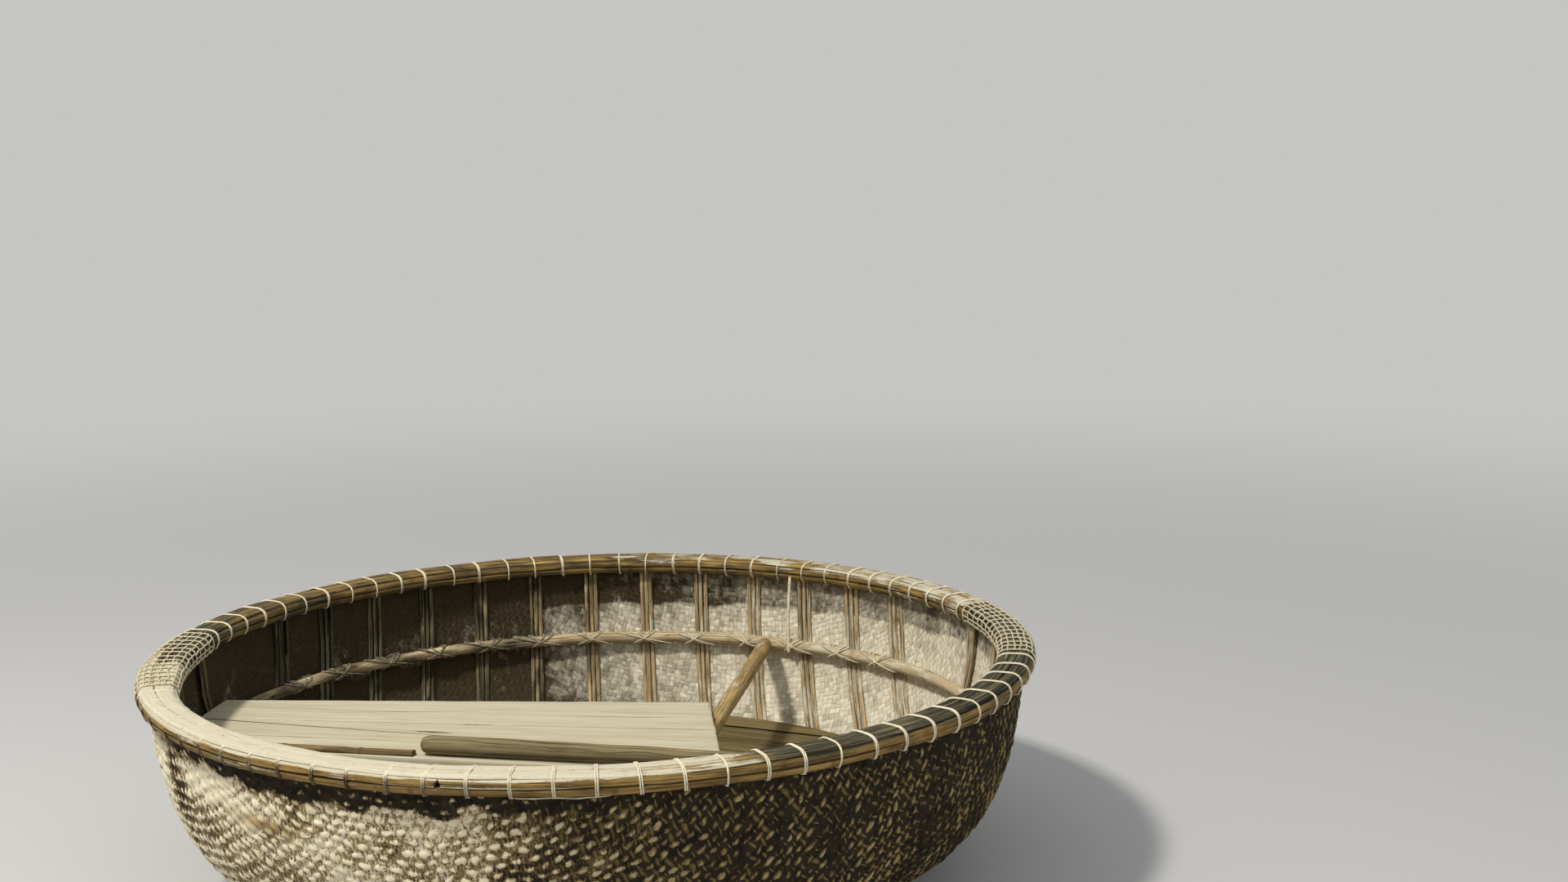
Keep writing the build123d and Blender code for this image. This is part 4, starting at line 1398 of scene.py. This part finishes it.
def split_group():
    """A split in wood: a lens-shaped gap along the line from Start to End."""
    tree, given, result = new_group(
        "split_line",
        {"Start X": (NUMBER, 0.0), "Start Y": (NUMBER, 0.0), "End X": (NUMBER, 1.0), "End Y": (NUMBER, 0.0),
         "Width": (NUMBER, 0.002)},
        {"Split": NUMBER},
    )

    def vectors(operation, first, second):
        """One Vector Math node on two vectors."""
        item = add(tree, "ShaderNodeVectorMath", {0: first, 1: second}, operation=operation)
        return item.outputs["Value" if operation in ("DOT_PRODUCT", "DISTANCE") else "Vector"]

    flat = vectors("MULTIPLY", add(tree, "ShaderNodeTexCoord").outputs["Object"], (1, 1, 0))
    start = vector(tree, given["Start X"], given["Start Y"])
    line = vectors("SUBTRACT", vector(tree, given["End X"], given["End Y"]), start)
    share = maths(tree, "DIVIDE", vectors("DOT_PRODUCT", vectors("SUBTRACT", flat, start), line),
                  vectors("DOT_PRODUCT", line, line))
    share = spread(tree, share, 0.0, 1.0)
    scaled = add(tree, "ShaderNodeVectorMath", {0: line, "Scale": share}, operation="SCALE").outputs[0]
    away = vectors("DISTANCE", flat, vectors("ADD", start, scaled))
    ragged = spread(tree, noise(tree, flat, 120.0), 0.3, 0.7, 0.5, 1.5)
    lens = times(tree, share, minus(tree, 1.0, share))
    half = times(tree, times(tree, lens, 2.0), times(tree, given["Width"], ragged))
    feed(tree, result["Split"], maths(tree, "GREATER_THAN", half, away))
    return tree


wood_paint, split_line = wood_group(), split_group()


def wood(name, pale, dark, checks=0.5, depth=0.0014, splits=(), roughness=0.85):
    """A wood material of these colours, with splits given as (x, y, x, y, width)."""
    material, tree, principled = shader(name)
    painted = use(tree, wood_paint, {"Pale": pale, "Dark": dark, "Checks": checks})
    colour, height = painted["Color"], painted["Height"]
    for start_x, start_y, end_x, end_y, width in splits:
        values = {"Start X": start_x, "Start Y": start_y, "End X": end_x, "End Y": end_y, "Width": width}
        split = use(tree, split_line, values)["Split"]
        colour = blend(tree, split, colour, paint(52, 38, 22))
        height = minus(tree, height, times(tree, split, 2.0))
    finish(tree, principled, colour, height, depth, roughness)
    return material


floor_wood = wood("floor_wood", paint(142, 126, 82), paint(52, 42, 22), 0.8)
seat_splits = [
    (-0.400, 0.024, -0.257, -0.017, 0.0085),
    (-0.453, -0.037, -0.348, -0.074, 0.0085),
    (-0.62, 0.16, -0.28, 0.115, 0.0022),
    (-0.05, 0.03, 0.20, -0.02, 0.0030),
    (0.02, 0.17, 0.27, 0.12, 0.0020),
]
seat_wood = wood("seat_wood", paint(203, 197, 173), paint(174, 164, 134), 0.25, 0.0008, seat_splits, 0.8)
paddle_wood = wood("paddle_wood", paint(156, 143, 106), paint(66, 52, 30), 0.9)
print("wood groups", len(wood_paint.nodes), "and", len(split_line.nodes), "nodes")

# %% [markdown]
# Boards take their outline from the plain solid's upper face. The outline is walked in small steps that
# wander a little, and six loops of it make a slab with worn edges. The wood's grain follows each board.

# %% Boards
def top_outline(node):
    """The corners round the upper face of a plain solid, in order."""
    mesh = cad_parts[node].data
    points = np.array([vertex.co[:] for vertex in mesh.vertices])
    top = points[:, 2].max()
    keys = [tuple(np.round(point, 5)) for point in points]
    edges = {}
    for face in mesh.polygons:
        corners = list(face.vertices)
        if all(points[corner][2] > top - 1e-4 for corner in corners):
            for first, second in zip(corners, corners[1:] + corners[:1]):
                edges.setdefault(keys[first], set()).add(keys[second])
    edges = {first: [second for second in seconds if first not in edges.get(second, ())]
             for first, seconds in edges.items()}
    start = next(first for first, seconds in edges.items() if seconds)
    outline = [start]
    while edges[outline[-1]] and edges[outline[-1]][0] != start:
        outline.append(edges[outline[-1]][0])
    return np.array(outline)


def board(node, seed, wear=0.003, wander=0.0008):
    """A slab with worn edges: the outline drawn in by `wear` at the top and bottom, full in between."""
    corners = top_outline(node)
    low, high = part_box(node)[0][2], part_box(node)[1][2]
    direction = np.linalg.svd(corners[:, :2] - corners[:, :2].mean(axis=0))[2][0]
    direction = direction * (1 if direction[0] > 0 else -1)
    path = []
    for first, second in zip(corners[:, :2], np.roll(corners[:, :2], -1, axis=0)):
        length = np.linalg.norm(second - first)
        steps = np.linspace(0, 1, max(2, int(length / 0.02)), endpoint=False)[:, None]
        path.append(first + steps * (second - first))
    path = np.concatenate(path)
    tangent = unit(np.roll(path, -1, axis=0) - np.roll(path, 1, axis=0))
    inward = np.stack([-tangent[:, 1], tangent[:, 0]], axis=-1)
    area = np.sum(path[:, 0] * np.roll(path[:, 1], -1) - np.roll(path[:, 0], -1) * path[:, 1])
    inward = inward * np.sign(area)
    path = path + inward * (wander * (1 + ripple(seed, path[:, 0], path[:, 1], 0.13)))[:, None]
    middle = path.mean(axis=0)
    loops, levels = [], []
    for draw, level in ((wear * 1.5, low), (wear * 0.3, low + wear * 0.4), (0, low + wear * 1.6),
                        (0, high - wear * 1.6), (wear * 0.3, high - wear * 0.4), (wear * 1.5, high)):
        loops.append(path + inward * draw)
        levels.append(np.full(len(path), level))
    flat, level = np.concatenate(loops), np.concatenate(levels)
    points = np.column_stack([flat, level])
    sideways = np.array([-direction[1], direction[0]])
    chance = np.random.default_rng(seed)
    shares = {
        "along": (flat - middle) @ direction, "wide": (flat - middle) @ sideways, "thick": level,
        "tone": np.full(len(points), chance.random()),
    }
    faces = grid(len(loops), len(path), wrap_columns=True)
    ends = [np.arange(len(path)), np.arange(len(points) - len(path), len(points))]
    if area > 0:
        faces, ends = faces[:, ::-1], [ends[0][::-1], ends[1]]
    else:
        ends = [ends[0], ends[1][::-1]]
    return (points, faces, shares), ends


for number in range(1, 18):
    node = f"floor_plank_{number:02d}"
    part, ends = board(node, 800 + number)
    place(node + "_worn", part, floor_wood, [node], caps=ends, smooth=False)
for number in range(1, 4):
    node = f"seat_board_{number}"
    part, ends = board(node, 830 + number, 0.0035, 0.0012)
    place(node + "_worn", part, seat_wood, [node], caps=ends, smooth=False)

# %% [markdown]
# The pole under the boards' ends, the half bamboo along their near edge and the paddle lie along one line
# each. The plain solid's points give the first two lines: their main direction, and how far they reach.

# %% Pole under the seat
def long_line(node):
    """Both ends of a long solid's middle line, the second further along +X or -Y, and its direction."""
    points = np.array([vertex.co[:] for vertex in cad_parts[node].data.vertices])
    low, high = points.min(axis=0), points.max(axis=0)
    middle = (low + high) / 2
    direction = np.linalg.svd(points - points.mean(axis=0), full_matrices=False)[2][0]
    direction[2] = 0
    direction = unit(direction) * (1 if direction[0] > abs(direction[1]) or direction[1] < 0 else -1)
    reach = (points - middle) @ direction
    return middle + direction * reach.min(), middle + direction * reach.max(), direction


first, last, direction = long_line("seat_bearer")
steps = np.linspace(0, 1, 80)
path = first + (last - first) * steps[:, None]
path[:, 2] += 0.0006 * ripple(71, steps, 0 * steps, 0.5)
bearer_radius = (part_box("seat_bearer")[1][2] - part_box("seat_bearer")[0][2]) / 2
aside = np.tile((0.0, 0.0, 1.0), (len(path), 1))
part, ends = pole(path, bearer_radius * 0.96, aside, 72, 0.30, tone=0.6, bleach=0.25)
bearer_bamboo = bamboo("bearer_bamboo", paint(206, 178, 120), paint(120, 92, 50))
place("seat_bearer_pole", part, bearer_bamboo, ["seat_bearer"], caps=ends)

# %% [markdown]
# The batten is half a bamboo, so its ring is a half circle closed by a flat underside.

# %% Batten
first, last, direction = long_line("seat_batten")
low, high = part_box("seat_batten")[0][2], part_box("seat_batten")[1][2]
half_wide, tall = 0.0115, high - low
sideways = np.array([-direction[1], direction[0], 0.0])
steps = np.linspace(0, 1, 120)
run = steps * np.linalg.norm(last - first)
turns = np.linspace(0, math.pi, 9)
arch = np.stack([np.cos(turns), np.sin(turns)], axis=-1)
ring = np.concatenate([arch, [[-0.5, 0.0], [0.5, 0.0]]])
joint_spacing = 0.16
joint = joints_near(run, joint_spacing, 73, 0.005)
size = 1 + 0.12 * joint[:, None] + 0.05 * ripple(74, run, 0 * run, 0.12)[:, None]
middle = first + (last - first) * steps[:, None]
middle[:, 2] = low
points = middle[:, None] + (ring[:, 0] * half_wide * size)[..., None] * sideways
points[..., 2] += ring[:, 1] * tall * np.minimum(size, 1.08)
shares = {
    "along": np.repeat(run, len(ring)), "wide": np.tile(ring[:, 0] * half_wide, len(run)),
    "thick": np.tile(ring[:, 1] * tall, len(run)),
    "knot": np.repeat(joints_near(run, joint_spacing, 73, 0.003), len(ring)),
}
faces = grid(len(run), len(ring), wrap_columns=True)[:, ::-1]
part = with_shares((points.reshape(-1, 3), faces, shares), tone=0.2, mould=0.05)
ends = [np.arange(len(ring))[::-1], np.arange((len(run) - 1) * len(ring), len(run) * len(ring))]
batten_bamboo = bamboo("batten_bamboo", paint(150, 128, 84), paint(58, 44, 26))
place("seat_batten_round", part, batten_bamboo, ["seat_batten"], caps=ends)

# %% [markdown]
# The paddle is one ring carried from the grip to the blade's tip. Its two half widths change on the way:
# equal on the round shaft, wide and thin on the blade, and drawn in by a quarter circle at the tip.

# %% Paddle
paddle_low, paddle_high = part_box("paddle")
lean = math.radians(-18)
direction = np.array([math.cos(lean), math.sin(lean), 0.0])
sideways = np.array([-math.sin(lean), math.cos(lean), 0.0])
grip, neck = 0.0240, 0.0180
blade_half_wide, blade_half_thick = 0.065, 0.0068
corner_start, corner_radius = 1.210, 0.0502
ring_sides = 20
tip = np.array([-0.405, -0.2409, (paddle_low[2] + paddle_high[2]) / 2])
run = np.concatenate([[-0.010, -0.0085, -0.004, 0.004, 0.016], np.linspace(0.03, 0.74, 40),
                      np.linspace(0.76, 1.236, 44), [1.25, 1.258, 1.260]])
shaft = np.interp(run, [0, 0.83], [grip, neck]) * (1 + 0.04 * ripple(75, run, 0 * run, 0.25))
round_end = {-0.0101: 0.05, -0.0085: 0.45, -0.004: 0.78, 0.004: 0.93, 0.016: 0.99, 0.03: 1}
shaft = shaft * np.interp(run, list(round_end), list(round_end.values()))
into_blade = smooth_step(0.765, 0.925, run)
corner = np.sqrt(np.clip(1 - (np.clip(run - corner_start, 0, None) / corner_radius) ** 2, 0, 1))
blade_half = blade_half_wide * (0.35 + 0.65 * corner)
half_wide = shaft * (1 - into_blade) + blade_half * into_blade
thinned = smooth_step(0.76, 0.90, run)
half_thick = shaft * (1 - thinned) + blade_half_thick * thinned
half_thick = half_thick * np.interp(run, [1.24, 1.26], [1, 0.45])
turns = np.linspace(0, TURN, ring_sides, endpoint=False)
round_share = (1 - 0.45 * into_blade)[:, None]
u = np.sign(np.cos(turns)) * np.abs(np.cos(turns)) ** round_share
v = np.sign(np.sin(turns)) * np.abs(np.sin(turns)) ** round_share
points = (tip + run[:, None] * direction)[:, None] + (u * half_wide[:, None])[..., None] * sideways
points[..., 2] += v * half_thick[:, None]
shares = {
    "along": np.repeat(run, ring_sides), "wide": (u * half_wide[:, None]).ravel(),
    "thick": (v * half_thick[:, None]).ravel(), "tone": np.full(len(run) * ring_sides, 0.4),
}
faces = grid(len(run), ring_sides, wrap_columns=True)[:, ::-1]
ends = [np.arange(ring_sides)[::-1], np.arange((len(run) - 1) * ring_sides, len(run) * ring_sides)]
place("paddle_worn", (points.reshape(-1, 3), faces, shares), paddle_wood, ["paddle"],
      caps=ends)

# %% [markdown]
# The poles under the floor keep their plain solids. They only get the finish of the pole under the seat.

# %% Poles under the floor
bare_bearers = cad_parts["floor_bearers"]
bare_bearers.data.materials.clear()
bare_bearers.data.materials.append(bearer_bamboo)
print("floor bearers:", bearer_bamboo.name)
